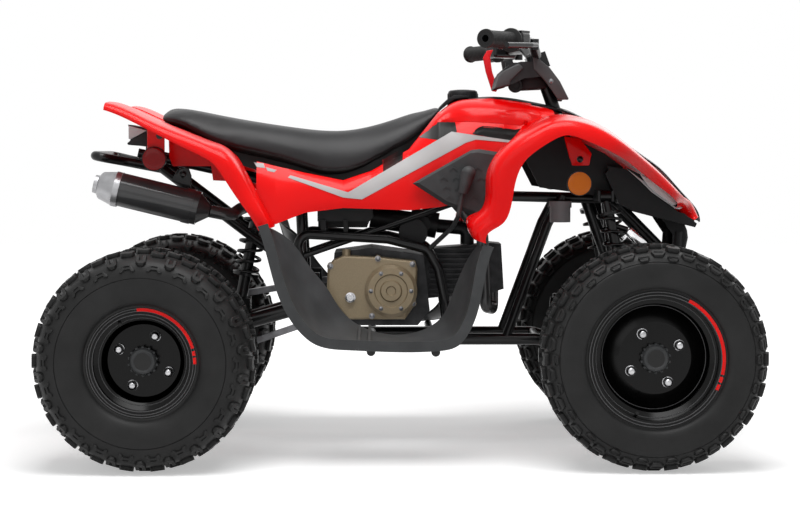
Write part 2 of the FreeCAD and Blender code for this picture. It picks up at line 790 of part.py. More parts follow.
def tie_rod():
    """The left tie rod, hung under the pitman arm."""
    inner = PITMAN + Vector(0, 18, 0) - UP * 15
    outer = Vector(X_FRONT - s.knuckle_arm, TIE_Y, TIE_Z)
    bar = rod(tuple(inner), tuple(outer), s.tie_rod_radius)
    eye = rod(tuple(inner - UP * 8), tuple(inner + UP * 8), 11)
    ball = rod(tuple(outer - Vector(0, 0, 9)), tuple(outer + Vector(0, 0, 9)), 11)
    whole = fused([bar, eye, ball])
    return whole.cut(rod(tuple(inner - UP * 20), tuple(inner + UP * 20), 5 + s.running_gap))


left_tie = tie_rod()
keep("tie_rod_left", left_tie)
keep("tie_rod_right", mirrored(left_tie))

# Rear axle with hubs and brake disc, sprocket and chain
REAR_FACE = s.rear_disc_out - s.rim_wall
HALF_TRACK = s.rear_track / 2
AXLE_END = HALF_TRACK + REAR_FACE - 10
axle = rod((0, -AXLE_END, 0), (0, AXLE_END, 0), s.axle_radius)
rear_hub = outer_hub(REAR_FACE - 84, REAR_FACE, s.rim_wall, 26, REAR_STUD_ANGLE)
hubs = []
for side in (LEFT, RIGHT):
    hub = rear_hub.copy()
    facing = Rotation(Vector(0, 0, 1), 0 if side == LEFT else 180)
    hub.Placement = Placement(Vector(0, side * HALF_TRACK, 0), facing)
    hubs.append(hub)
brake = rod((0, -s.rear_brake_y - 2, 0), (0, -s.rear_brake_y + 2, 0), s.rear_disc_radius)
brake_boss = rod((0, -s.rear_brake_y - 14, 0), (0, -s.rear_brake_y + 16, 0), 30)
sprocket_boss = rod((0, s.sprocket_y - 30, 0), (0, s.sprocket_y - s.sprocket_thick / 2, 0), 30)
slot = rod((60, -s.rear_brake_y - 3, 0), (60, -s.rear_brake_y + 3, 0), 8)
slots = turned_copies(slot, 8)
axle = fused([axle, brake, brake_boss, sprocket_boss] + hubs).cut(Part.makeCompound(slots))


def pitch_radius(teeth):
    """Pitch circle radius of a chain wheel."""
    return s.chain_pitch / (2 * math.sin(math.pi / teeth))


def chain_wheel(teeth, bore):
    """A toothed wheel about +Y, its teeth ending inside the chain's plates."""
    pitch = pitch_radius(teeth)
    points = []
    step = 2 * math.pi / teeth
    for k in range(teeth):
        for part, reach in ((-0.42, -5.5), (-0.18, 3.0), (0.18, 3.0), (0.42, -5.5)):
            angle = (k + part) * step
            points.append(Vector((pitch + reach) * math.cos(angle), 0, (pitch + reach) * math.sin(angle)))
    plate = Part.Face(Part.makePolygon(points + points[:1])).extrude(Vector(0, s.sprocket_thick, 0))
    plate.translate(Vector(0, -s.sprocket_thick / 2, 0))
    return plate.cut(rod((0, -20, 0), (0, 20, 0), bore))


sprocket = chain_wheel(int(s.sprocket_teeth), s.axle_radius)
windows = turned_copies(rod((48, -9, 0), (48, 9, 0), 10), 6)
sprocket = sprocket.cut(Part.makeCompound(windows))
sprocket.translate(Vector(0, s.sprocket_y, 0))
keep("rear_axle", fused([axle, sprocket]), Placement(Vector(X_REAR, 0, Z_REAR), Rotation()))

DRIVE = (rear(-112), 326)


def chain():
    """The drive chain as one closed band of plates with rollers' gaps left out."""
    big, small = pitch_radius(s.sprocket_teeth), pitch_radius(s.drive_sprocket_teeth)
    span = Vector(DRIVE[0] - X_REAR, 0, DRIVE[1] - Z_REAR)
    lean = math.atan2(span.z, span.x)
    spread = math.acos((big - small) / span.Length)

    def loop(offset):
        """The belt line that lies that far outside the pitch line."""
        edges = []
        r1, r2 = big + offset, small + offset
        a1, a2 = lean + spread, lean - spread
        c1, c2 = Vector(X_REAR, 0, Z_REAR), Vector(DRIVE[0], 0, DRIVE[1])

        def at(centre, radius, angle):
            return centre + Vector(math.cos(angle), 0, math.sin(angle)) * radius

        steps = 14
        back = [at(c1, r1, a1 + (2 * math.pi - 2 * spread) * k / steps) for k in range(steps + 1)]
        fore = [at(c2, r2, a2 + 2 * spread * k / steps) for k in range(steps + 1)]
        points = back + fore
        return Part.Face(Part.makePolygon(points + points[:1]))

    band = loop(7).extrude(Vector(0, 16, 0)).cut(loop(-7).extrude(Vector(0, 16, 0)))
    slot = loop(5.2).extrude(Vector(0, 7.4, 0))
    slot.translate(Vector(0, 4.3, 0))
    band = band.cut(slot.cut(loop(3.6).extrude(Vector(0, 0.01, 0))))
    band.translate(Vector(0, s.sprocket_y - 8, 0))
    return band


keep("chain", chain())

# Frame: one welded cradle of round tube
RAIL = s.rail_z
FOOT_BAR_Z = RAIL - 3.5


ARCH = [
    (rear(-206), 374),
    (rear(-223), 467),
    (-24, 455),
    (61, 433),
    (84, 391),
    (98, 323),
]


def arm_seat(x, z, half, height):
    """Two lugs and the bolt that carry one eye of a suspension arm."""
    plates = [block(x + at, 68, z - 12, 5, 40, height) for at in (-half, half - 5)]
    return plates + [rod((x - half - 2, ARM_Y, z), (x + half + 2, ARM_Y, z), 5)]


def half_frame():
    """Tubes and lugs of the left half."""
    y = s.rail_y
    thin = s.frame_tube_radius
    lower_rail = [
        (rear(-196), y, 352),
        (rear(-176), y, RAIL),
        (front(300), y, RAIL),
        (front(420), 74, 205),
        (front(606), 74, 205),
    ]
    main_loop = [
        (front(606), 74, 205),
        (front(603), 74, 398),
        (front(463), 74, 540),
        (front(240), 60, 545),
        (40, 46, 560),
        (rear(-200), 60, 560),
        (rear(-560), 92, 640),
    ]
    side_arch = [(x, s.arch_y, z) for x, z in ARCH] + [(110, s.arch_y - 12, RAIL + 4)]
    tubes = [
        bent(lower_rail, s.rail_radius, 40),
        bent([(front(232), y, RAIL + 6), (front(320), 78, 485), (front(352), 72, 548)], thin, 30),
        bent(side_arch, thin, 26),
        bent(main_loop, thin, 40),
        rod((front(346), 74, 316), (front(604), 74, 316), thin),
        rod((front(350), 74, 316), (front(340), 76, RAIL - 10), thin),
        bent([(rear(-204), y + 6, 380), (rear(-330), 92, 470), (rear(-540), 92, 630)], thin, 30),
        rod((rear(-205), y, 352), (rear(-216), 62, 560), thin),
        rod((front(470), 74, 320), (front(442), 96, 552), thin),
        rod((rear(-207), 100, 418), (165, 60, 547), s.brace_radius),
    ]
    lugs = [block(rear(-212), y - 4, 282, 40, 8, 100)]
    for at in (372, 578):
        lugs += arm_seat(front(at), UPPER_BALL_Z + 16, 22, 24)
    for at in (430, 590):
        lugs += arm_seat(front(at), LOWER_BALL_Z + 12, 24, 30)
    x, shock_y, z = SHOCK_TOP
    lugs.append(rod((x - 18, shock_y, z), (x + 18, shock_y, z), 5))
    lugs += [block(x + at, 90, z - 10, 5, 94, 22) for at in (-17, 12)]
    return tubes + lugs


half = half_frame()
cross = [
    rod((front(606), -74, 205), (front(606), 74, 205), 12),
    Part.makeSphere(13, Vector(front(606), 74, 205)),
    Part.makeSphere(13, Vector(front(606), -74, 205)),
    rod((front(300), -84, RAIL), (front(300), 84, RAIL), 10),
    rod((rear(-60), -84, RAIL), (rear(-60), 84, RAIL), 10),
    rod((front(470), -74, 540), (front(470), 74, 540), 10),
    rod((rear(-540), -92, 632), (rear(-540), 92, 632), 10),
    rod((rear(-206), -s.arch_y, 374), (rear(-206), s.arch_y, 374), 10),
    rod((rear(-60), -330, FOOT_BAR_Z + 1.5), (rear(-60), 330, FOOT_BAR_Z + 1.5), s.foot_bar_radius),
    rod((72, -330, FOOT_BAR_Z), (72, 330, FOOT_BAR_Z), s.foot_bar_radius),
    rod((rear(-300), -66, 575), (rear(-300), 66, 575), 9),
    block(rear(-311), 12, 542, 18, 6, 34),
    block(rear(-311), -18, 542, 18, 6, 34),
    rod((rear(-302), -18, 552), (rear(-302), 18, 552), 5.2),
    block(front(330), -74, 536, 40, 148, 8),
    block(front(470), -80, 196, 60, 160, 6),
]
HEAD_HIGH = on_column((COLUMN_TOP.z - 560) / math.cos(TILT))
HEAD_LOW = on_column((COLUMN_TOP.z - 300) / math.cos(TILT))
head = [
    rod(tuple(HEAD_HIGH - UP * 18), tuple(HEAD_HIGH + UP * 18), s.column_radius + 10),
    block(HEAD_HIGH.x - 8, -72, HEAD_HIGH.z - 22, 16, 144, 20),
    rod(tuple(HEAD_LOW - UP * 4), tuple(HEAD_LOW + UP * 16), s.column_radius + 8),
    block(HEAD_LOW.x - 6, -74, HEAD_LOW.z + 4, 14, 148, 10),
]
swing_bolt = rod((rear(-192), -92, 312), (rear(-192), 92, 312), 7)
frame = Part.Shape()
for piece in half + [mirrored(tube) for tube in half] + cross + head + [swing_bolt]:
    frame = frame.fuse(piece) if not frame.isNull() else piece
frame = frame.cut(rod(tuple(HEAD_LOW - UP * 40), tuple(on_column(0)), s.column_radius + s.running_gap))
keep("frame", frame)

# Swingarm with the axle housing, and its single shock absorber
PIVOT = (rear(-192), 312)


def swingarm():
    """The rear swinging arm."""
    half = s.axle_housing_half
    solids = [
        rod((X_REAR, -half, Z_REAR), (X_REAR, half, Z_REAR), s.axle_housing_radius),
        rod((PIVOT[0], -70, PIVOT[1]), (PIVOT[0], 70, PIVOT[1]), 17),
        block(rear(-392), -54, 262, 20, 108, 26),
        block(rear(-372), -22, 270, 46, 7, 52),
        block(rear(-372), 15, 270, 46, 7, 52),
        rod((rear(-350), -22, 308), (rear(-350), 22, 308), 4.7),
    ]
    for side in (LEFT, RIGHT):
        solids.append(rod((X_REAR + 20, side * 52, Z_REAR + 4), (PIVOT[0], side * 56, PIVOT[1]), 16))
    caliper = block(X_REAR + 20, -s.rear_brake_y - 26, Z_REAR + 36, 46, 66, 42)
    solids.append(block(X_REAR + 12, -s.rear_brake_y + 18, Z_REAR + 18, 46, 34, 40))
    caliper = caliper.cut(block(X_REAR - 20, -s.rear_brake_y - 7, Z_REAR - 90, 110, 14, 180))
    solids += caliper.Solids
    disc_room = rod((X_REAR, -130, Z_REAR), (X_REAR, -80, Z_REAR), s.rear_disc_radius + 5)
    bracket = block(X_REAR + 62, -s.rear_brake_y - 26, Z_REAR + 40, 10, 56, 30)
    solids.append(bracket.cut(disc_room))
    arm = fused(solids)
    arm = arm.cut(rod((X_REAR, -200, Z_REAR), (X_REAR, 200, Z_REAR), s.axle_radius + s.running_gap))
    return arm.cut(rod((PIVOT[0], -90, PIVOT[1]), (PIVOT[0], 90, PIVOT[1]), 7.1))


keep("swingarm", swingarm())
rear_shock = shock((rear(-302), 0, 552), (rear(-350), 0, 308), 13, 25, 42, 178, (0, 1, 0))
keep("shock_rear", rear_shock)

# Engine
engine = fused(
    [
        prism([(-150, 300), (-140, 425), (-60, 436), (52, 420), (66, 300), (40, 268), (-120, 268)], -86, 86),
        prism([(52, 322), (52, 432), (176, 440), (176, 334)], -40, 40),
        prism([(176, 328), (176, 446), (222, 442), (228, 344)], -46, 46),
    ]
    + [block(66, -52, 320 + 11 * k, 104, 104, 3.2) for k in range(12)]
)
drive_shaft = rod((DRIVE[0], 70, DRIVE[1]), (DRIVE[0], s.sprocket_y + 8, DRIVE[1]), 10)
drive_wheel = chain_wheel(int(s.drive_sprocket_teeth), 9)
drive_wheel.translate(Vector(DRIVE[0], s.sprocket_y, DRIVE[1]))
engine = fused([engine, drive_shaft, drive_wheel])
COVER = [
    (-157, 325),
    (-154, 396),
    (-142, 411),
    (-120, 421),
    (-41, 417),
    (34, 409),
    (39, 392),
    (35, 317),
    (12, 283),
    (-109, 283),
    (-139, 318),
]
COVER_IN, COVER_OUT = -86, -116
shell = prism(COVER, COVER_OUT, COVER_IN)
rim_edges = [e for e in shell.Edges if abs(e.BoundBox.YMin - COVER_OUT) < 0.01 and e.BoundBox.YLength < 0.01]
shell = shell.makeFillet(6, rim_edges)
clutch_dome = turned(
    [(0, 0), (0, 56), (5, 56), (12, 49), (12, 36), (9, 34), (9, 24), (13, 21), (13, 11), (10, 9), (10, 0)],
    (-18, COVER_OUT, 345),
    (0, -1, 0),
)
details = [
    rod((x, COVER_IN, z), (x, COVER_OUT - 3, z), 7)
    for x, z in ((-148, 398), (-46, 414), (28, 402), (29, 318), (-59, 291))
]
details.append(rod((-105, COVER_OUT + 2, 331), (-105, COVER_OUT - 6, 331), 12))
details.append(rod((-114, -104, 414), (-114, -104, 434), 9))
cover = fused([shell, clutch_dome] + details)
engine = engine.cut(frame)
engine = max(engine.Solids, key=lambda part: part.Volume)
keep("engine", engine)
keep("engine_cover", cover)
AIR_BOX = [(-176, 478), (-176, 522), (-58, 522), (-56, 503), (-64, 493), (-70, 478)]
air_box = fused(
    [
        prism(AIR_BOX, -48, 48),
        prism([(x, max(z, 493)) for x, z in AIR_BOX[:5]], -92, 92),
    ]
)
box_feet = [
    block(x, y, 466, width, 12, 30) for x, width in ((-169, 11), (-120, 9)) for y in (-100, 88)
]
intake = fused(
    [
        air_box,
        rod((-62, 0, 500), (30, 0, 486), 24),
        rod((24, 0, 492), (84, 0, 480), 28),
        rod((30, -62, 467), (30, 10, 467), 26),
        rod((30, -68, 467), (30, -60, 467), 31),
        rod((52, -30, 484), (52, 30, 484), 17),
        bent([(84, 0, 480), (150, 0, 474), (150, 0, 440)], 15, 26),
    ]
    + box_feet
).cut(engine)
intake = largest(intake.cut(frame))
keep("intake", intake)
HEAD_OUT = (204, -30, 340)
pipe = bent(
    [
        HEAD_OUT,
        (204, -36, 300),
        (184, -130, 312),
        (176, -136, 470),
        (110, -140, 546),
        (-250, -138, 546),
        (-334, -146, 524),
        (-352, -214, 510),
        (rear(-396), -222, 519),
    ],
    s.exhaust_radius,
    30,
).cut(engine)
SILENCER_FRONT = Vector(rear(-396), -222, 519)
SILENCER_END = Vector(rear(-601), -222, 569)
AXIS = (SILENCER_END - SILENCER_FRONT).normalize()


def silencer_at(distance):
    """A point along the silencer's axis from its front end."""
    return SILENCER_FRONT + AXIS * distance


can_from = 24
can_to = can_from + s.silencer_length - 34
cone = Part.makeCone(s.exhaust_radius, s.silencer_radius - 3, can_from, SILENCER_FRONT, AXIS)
can = rod(tuple(silencer_at(can_from)), tuple(silencer_at(can_to)), s.silencer_radius)
silencer = fused([cone, can])
CAN_END = silencer_at(can_to)
OUTLET_END = silencer_at(can_to + s.silencer_cap_length + 8)
outlet_bore = rod(tuple(silencer_at(can_to + 12)), tuple(silencer_at(can_to + 60)), 14)
cap = fused(
    [
        Part.makeCone(s.silencer_radius + 1, s.silencer_radius - 8, s.silencer_cap_length, CAN_END, AXIS),
        rod(tuple(CAN_END), tuple(OUTLET_END), 18),
    ]
).cut(outlet_bore)
hanger = [
    prism([(rear(-478), 578), (rear(-473), 600), (rear(-445), 600), (rear(-437), 566)], -206, -200),
    block(rear(-474), -204, 583, 30, 112, 4),
    rod((rear(-458), -200, 590), (rear(-458), -212, 590), 8),
]
band_ends = tuple(silencer_at(can_from + 12)), tuple(silencer_at(can_from + 30))
clamp_band = rod(*band_ends, s.silencer_radius + 1.5)
silencer = fused([silencer, cap, clamp_band] + hanger).cut(frame)
silencer = largest(silencer)
keep("exhaust_pipe", largest(pipe.cut(silencer)))
keep("silencer", silencer)

# Bodywork, first the right-hand half of each panel seen by the photograph
WALL = s.panel_wall
ROUND = 24
IN = s.strip_half + 1.5
# (surface x, surface z, lip x, lip z, inner y, outer y, rise)
FENDER = [
    (152, 464, 172, 458, 262, 362, 0),
    (165, 519, 204, 497, 218, 366, 0),
    (180, 590, 229, 574, 202, 370, 0),
    (203, 639, 248, 622, 196, 374, 0),
    (244, 672, 277, 648, 180, 377, 4),
    (300, 701, 316, 671, 90, 378, 26),
    (345, 706, 346, 674, -4, 378, 30),
    (392, 694, 384, 660, -4, 376, 24),
    (440, 668, 428, 640, -4, 366, 22),
    (492, 632, 476, 612, -4, 318, 20),
    (545, 592, 530, 574, -4, 262, 14),
    (600, 545, 583, 530, -4, 196, 8),
    (640, 503, 622, 494, -4, 132, 2),
]
REAR_FENDER = [
    (-600, 742, -602, 727, -4, 318, 0),
    (-556, 728, -557, 710, -4, 326, 3),
    (-512, 707, -511, 687, -4, 330, 4),
    (-450, 681, -449, 656, -4, 331, 4),
    (-392, 658, -396, 630, 20, 331, 2),
    (-346, 634, -366, 602, 130, 331, 0),
    (-316, 590, -343, 566, 182, 331, 0),
    (-290, 540, -318, 530, 184, 330, 0),
    (-262, 488, -288, 482, 186, 326, 0),
]


def mapped(stations, shift):
    """Stations moved along with their axle."""
    return [(shift(a), b, shift(c), d, e, f, g) for a, b, c, d, e, f, g in stations]


half_fender = lipped_panel(mapped(FENDER, front), WALL, ROUND, 3)
half_rear = lipped_panel(mapped(REAR_FENDER, rear), WALL, ROUND, 3)


def hung_under(panel, tab):
    """The panel with a tab that hangs from its underside. The tab is given tall enough to pass through."""
    lower = min(tab.cut(panel).Solids, key=lambda part: part.CenterOfMass.z)
    return panel.fuse(lower)


def tapered_tab(x, z, y, width, depth):
    """A tab that narrows downwards to a rounded foot, tall enough to pass through its panel."""
    half = width / 2
    outline = [
        (x - half, z + 130),
        (x + half, z + 130),
        (x + half, z + 26),
        (x + 0.62 * half, z),
        (x - 0.62 * half, z),
        (x - half, z + 26),
    ]
    return prism(outline, y, y + depth)


half_fender = hung_under(half_fender, tapered_tab(front(363), 560, 317, 30, 4))
half_rear = hung_under(half_rear, tapered_tab(rear(-503), 610, 252, 34, 4))
INNER_WALL = [
    (rear(-488), 700),
    (rear(-486), 631),
    (rear(-479), 612),
    (rear(-398), 612),
    (rear(-394), 582),
    (rear(-356), 580),
    (rear(-352), 700),
]
half_rear = hung_under(half_rear, prism(INNER_WALL, 156, 160))
fender_front = fused([half_fender, mirrored(half_fender)])
rear_bosses = [rod((rear(-532), side * 90, 640), (rear(-532), side * 90, 714), 9) for side in (LEFT, RIGHT)]
fender_rear = fused([half_rear, mirrored(half_rear)] + rear_bosses)
fender_rear = largest(fender_rear.cut(frame))

# Hood strip from the tank cap to the nose: (x, z) of its middle line
SPINE = [
    (92, 712),
    (105, 734),
    (123, 749),
    (145, 758),
    (178, 762),
    (243, 760),
    (309, 748),
    (372, 732),
    (410, 713),
    (461, 685),
    (512, 650),
    (562, 615),
    (613, 562),
    (639, 534),
    (658, 493),
]


def spine_panel(points, half, wall, drop):
    """A strip that follows the bike's middle line, falling by drop at its edges."""
    count = len(points)
    wires = []
    for k, (x, z) in enumerate(points):
        before, after = points[max(k - 1, 0)], points[min(k + 1, count - 1)]
        along = Vector(after[0] - before[0], 0, after[1] - before[1]).normalize()
        normal = Vector(-along.z, 0, along.x)
        p = Vector(x, 0, z)
        outer = [p + Vector(0, y * half, 0) - normal * (drop * y * y) for y in (-1, -0.5, 0, 0.5, 1)]
        inner = [q - normal * wall for q in outer]
        wires.append(closed_section(outer, inner))
    return Part.makeLoft(wires, True, False)


hood = spine_panel([(front(x), z) for x, z in SPINE], s.strip_half, WALL, 5)
steering_hole = rod(tuple(on_column(60)), tuple(on_column(180)), s.column_radius + 9)
hood = hood.cut(steering_hole)
fender_front = largest(fender_front.cut(hood))
fender_front = largest(fender_front.cut(steering_hole))

# Tank sides and side panels: (x, [(y, z) from the seat's edge or the strip down to the lower edge])
SIDE = [
    (-302, [(150, 622), (162, 608), (170, 590), (175, 560), (178, 520), (180, 492)]),
    (-262, [(148, 612), (162, 590), (170, 570), (175, 545), (178, 515), (180, 490)]),
    (-200, [(146, 598), (160, 586), (168, 570), (172, 550), (175, 530), (176, 514)]),
    (-120, [(144, 582), (158, 572), (166, 562), (170, 550), (172, 536), (172, 524)]),
    (-60, [(140, 602), (158, 588), (166, 572), (170, 555), (172, 538), (172, 522)]),
    (20, [(132, 648), (154, 628), (165, 606), (170, 580), (172, 548), (173, 519)]),
    (84, [(96, 728), (136, 704), (160, 670), (170, 630), (172, 575), (174, 526)]),
    (110, [(IN, 729), (110, 716), (150, 688), (169, 650), (174, 600), (176, 531)]),
    (160, [(IN, 754), (112, 740), (152, 706), (171, 664), (177, 620), (180, 560)]),
    (220, [(IN, 756), (112, 742), (152, 710), (172, 674), (180, 640), (184, 600)]),
    (284, [(IN, 747), (96, 738), (124, 722), (148, 704), (166, 690), (176, 676)]),
]


def side_panel(stations, wall):
    """The left side panel, lofted along the bike."""
    wires = []
    for x, points in stations:
        outer = [Vector(x, y, z) for y, z in points]
        inner = []
        for k, p in enumerate(outer):
            before, after = outer[max(k - 1, 0)], outer[min(k + 1, len(outer) - 1)]
            run = (after - before).normalize()
            inner.append(p + Vector(0, run.z, -run.y) * wall)
        wires.append(closed_section(outer, inner))
    return Part.makeLoft(wires, True, True)


# Air slot under the tank's edge, through the side panel
SLOT = [
    (159, 688),
    (170, 695),
    (222, 691),
    (261, 688),
    (275, 698),
    (280, 689),
    (253, 672),
    (205, 676),
    (160, 680),
]
half_side = side_panel(SIDE, WALL).cut(prism(SLOT, 120, 200))
half_side = largest(half_side.cut(fender_front).cut(fender_rear).cut(hood))
keep("side_panel_left", half_side)
keep("side_panel_right", mirrored(half_side))
keep("fender_front", fender_front)
keep("fender_rear", fender_rear)
keep("hood_strip", hood)

# Footwell trays: (x, z) along the outer and the inner edge
TREAD_OUT = [
    (-288, 492),
    (-270, 434),
    (-238, 331),
    (-210, 286),
    (-173, 254),
    (-105, 242),
    (75, 240),
    (115, 250),
    (135, 272),
    (166, 366),
    (188, 450),
]
TREAD_IN = [
    (-256, 468),
    (-221, 437),
    (-188, 390),
    (-158, 353),
    (-135, 316),
    (-108, 286),
    (70, 272),
    (92, 290),
    (112, 330),
    (134, 386),
    (166, 440),
]
TRAY_IN, TRAY_OUT = 168, 362
RIM_HEIGHT, RIM_THICK = 21, 10


def raised(outer, height):
    """The line that lies that far above a line, square to it."""
    inner = []
    for k, p in enumerate(outer):
        before, after = outer[max(k - 1, 0)], outer[min(k + 1, len(outer) - 1)]
        run = (after - before).normalize()
        inner.append(p + Vector(-run.z, 0, run.x) * height)
    return inner


def tray_line(y):
    """The tray's underside at y, falling quickly from its inner edge and then flat."""
    share = math.sqrt((y - TRAY_IN) / (TRAY_OUT - TRAY_IN))
    return [
        Vector(a[0] + (b[0] - a[0]) * share, y, a[1] + (b[1] - a[1]) * share)
        for a, b in zip(TREAD_IN, TREAD_OUT)
    ]


def floor_rib(x):
    """A rib across the tray's floor at x, from near its inner edge to the rim."""
    line = []
    for y in (190, 230, 280, 330, TRAY_OUT - 2):
        share = math.sqrt((y - TRAY_IN) / (TRAY_OUT - TRAY_IN))
        line.append((y, 281 + (241 - 281) * share))
    points = [Vector(x, y, z + 2) for y, z in line] + [Vector(x, y, z + 11) for y, z in line[::-1]]
    return Part.Face(Part.makePolygon(points + points[:1])).extrude(Vector(5, 0, 0))


def tray():
    """The left footwell: a bent sheet, its raised outer rim and two ribs across the floor."""
    wires = []
    for y in (TRAY_IN, 200, 300, TRAY_OUT):
        under = tray_line(y)
        wires.append(closed_section(under, raised(under, WALL + 1)))
    sheet_part = Part.makeLoft(wires, True, False)
    edge = tray_line(TRAY_OUT)
    band = Part.Face(closed_section(edge, raised(edge, RIM_HEIGHT))).extrude(Vector(0, -RIM_THICK, 0))
    return fused([sheet_part, band, floor_rib(-87), floor_rib(-66)])


half_tray = tray()
half_tray = largest(half_tray.cut(fender_rear).cut(fender_front).cut(frame))
keep("footwell_left", half_tray)
keep("footwell_right", mirrored(half_tray))

# Knee pads, outside the tank sides
KNEE = [(27, 576), (150, 646), (167, 648), (211, 641), (173, 503), (95, 532)]
KNEE_MIDDLE = (128, 590)


def knee_outline(y, share):
    """The pad's outline at y, drawn in towards its middle."""
    cx, cz = KNEE_MIDDLE
    points = [Vector(cx + (x - cx) * share, y, cz + (z - cz) * share) for x, z in KNEE]
    return Part.makePolygon(points + points[:1])


knee_base = prism(KNEE, 184, 194)
knee_face = Part.makeLoft([knee_outline(194, 1.0), knee_outline(202, 0.88)], True, True)
CHEVRON = [(0, 0), (8, 7), (16, 0), (16, -4), (8, 3), (0, -4)]
chevrons = []
for row in range(4):
    for place in range(3 + (row < 2)):
        x, z = 78 + 26 * place + 6 * row, 606 - 20 * row
        chevrons.append(prism([(x + dx, z + dz) for dx, dz in CHEVRON], 201, 204))
knee = fused([knee_base, knee_face])
knee = fused([knee] + [c for c in chevrons if knee.common(c).Volume > 0.3 * c.Volume])
knee = largest(knee.cut(fender_front))
keep("knee_pads", both(knee))

# Seat: (x, half width, lower z, side top z, top z)
SEAT = [
    (-510, 92, 712, 722, 730),
    (-480, 122, 700, 720, 733),
    (-400, 140, 664, 698, 720),
    (-312, 143, 634, 680, 704),
    (-217, 140, 610, 664, 690),
    (-121, 132, 592, 650, 684),
    (-60, 124, 618, 660, 694),
    (10, 106, 658, 694, 717),
    (64, 78, 706, 722, 738),
    (88, 62, 734, 739, 744),
]


def seat():
    """The seat cushion as one plain closed solid."""
    wires = []
    for x, half, low, side, top in SEAT:
        upper = [
            Vector(x, -half, low),
            Vector(x, -half - 2, (low + side) / 2),
            Vector(x, -half * 0.86, side + 0.35 * (top - side)),
            Vector(x, -half * 0.5, top - 2),
            Vector(x, 0, top),
            Vector(x, half * 0.5, top - 2),
            Vector(x, half * 0.86, side + 0.35 * (top - side)),
            Vector(x, half + 2, (low + side) / 2),
            Vector(x, half, low),
        ]
        wires.append(Part.Wire([smooth(upper), Part.LineSegment(upper[-1], upper[0]).toShape()]))
    return Part.makeLoft(wires, True, False)


cushion = seat()
cushion = largest(cushion.cut(fender_rear).cut(half_side).cut(mirrored(half_side)).cut(frame).cut(hood))
keep("seat", cushion)

CAP_X, CAP_Z = 140, 752
CAP_PROFILE = [(0, 0), (0, 33), (18, 33), (20, 31), (20, 26), (26, 24), (26, 0)]
fuel_cap = turned(CAP_PROFILE, (CAP_X, 0, CAP_Z), (0, 0, 1))
grip_notches = [
    rod(
        (CAP_X + 35 * math.cos(a), 35 * math.sin(a), CAP_Z + 8),
        (CAP_X + 35 * math.cos(a), 35 * math.sin(a), CAP_Z + 30),
        4,
    )
    for a in [k * math.pi / 6 for k in range(12)]
]
keep("fuel_cap", largest(fuel_cap.cut(Part.makeCompound(grip_notches)).cut(hood)))

# Nose: bumper, lower fascia and headlamps
BEAK = [
    (552, 523),
    (602, 514),
    (614, 494),
    (623, 473),
    (625, 457),
    (620, 432),
    (590, 430),
    (592, 462),
    (575, 487),
]
beak = prism([(front(x), z) for x, z in BEAK], -80, 80)
beak_edges = [e for e in beak.Edges if e.BoundBox.YLength < 0.01 and e.BoundBox.XMax > front(600)]
beak = beak.makeFillet(7, beak_edges)
hollow_front = [(front(x) - 6, z) for x, z in BEAK[1:6]]
beak_hollow = prism(hollow_front + [(front(560), 426), (front(548), 500)], -74, 74)
guards = []
for side in (LEFT, RIGHT):
    path = [(front(580), side * 77, 330), (front(600), side * 77, 400), (front(604), side * 76, 470)]
    guards.append(bent(path, 9, 26))
bumper = fused([beak.cut(beak_hollow)] + guards)
bumper = largest(bumper.cut(frame))
keep("bumper", bumper)
BELLY_SHEET = [
    (446, 606),
    (478, 540),
    (510, 530),
    (604, 512),
    (632, 490),
    (628, 482),
    (500, 515),
    (466, 532),
    (436, 596),
]
CHEEK = [
    (440, 612),
    (478, 606),
    (506, 592),
    (545, 556),
    (590, 516),
    (626, 498),
    (628, 484),
    (500, 516),
    (468, 534),
]
LINER = [
    (262, 640),
    (300, 668),
    (345, 674),
    (392, 662),
    (440, 638),
    (478, 610),
    (480, 536),
    (400, 552),
    (300, 566),
]


def nose_plate(outline, y_low, y_high):
    """A plate of the nose, given by its outline at the nominal wheelbase."""
    return prism([(front(x), z) for x, z in outline], y_low, y_high)


fascia = fused(
    [
        nose_plate(BELLY_SHEET, -150, 150),
        nose_plate(CHEEK, 146, 150),
        nose_plate(CHEEK, -150, -146),
        nose_plate(LINER, 106, 110),
        nose_plate(LINER, -110, -106),
    ]
)
fascia = largest(fascia.cut(left_shock).cut(mirrored(left_shock)))
fascia = largest(fascia.cut(frame).cut(bumper).cut(fender_front).cut(hood))
keep("fascia", fascia)
LAMP_SHELL = [
    (477, 610),
    (502, 598),
    (530, 581),
    (562, 560),
    (597, 534),
    (599, 525),
    (591, 520),
    (582, 523),
    (533, 557),
    (513, 577),
]
LAMP_LENS = [
    (507, 594),
    (526, 584),
    (552, 567),
    (575, 549),
    (586, 533),
    (582, 529),
    (574, 531),
    (536, 558),
    (523, 571),
]
lamp = fused([nose_plate(LAMP_SHELL, 150.3, 162), nose_plate(LAMP_LENS, 162, 170)])
lamp = largest(lamp.cut(fender_front).cut(frame))
keep("headlamps", both(lamp))
reflector = rod((front(363), 321.2, 578), (front(363), 331, 578), 25)
keep("reflectors_front", both(reflector))
back_reflector = rod((rear(-506), 256.2, 628), (rear(-506), 266, 628), 25)
keep("reflectors_rear", both(back_reflector))
TAIL = [(-585, 701), (-536, 691), (-532, 661), (-545, 653), (-587, 659), (-580, 668)]
tail = prism([(rear(x), z) for x, z in TAIL], -62, 62)
tail = fused([tail, block(rear(-553), -12, 636, 14, 24, 30)]).cut(frame).cut(fender_rear)
keep("tail_lamp", largest(tail))
bar = bent(
    [
        (rear(-508), -90, 606),
        (rear(-590), -96, 622),
        (rear(-648), -150, 634),
        (rear(-648), 150, 634),
        (rear(-590), 96, 622),
        (rear(-508), 90, 606),
    ],
    10,
    30,
)
bar = largest(bar.cut(frame))
keep("grab_bar", bar)
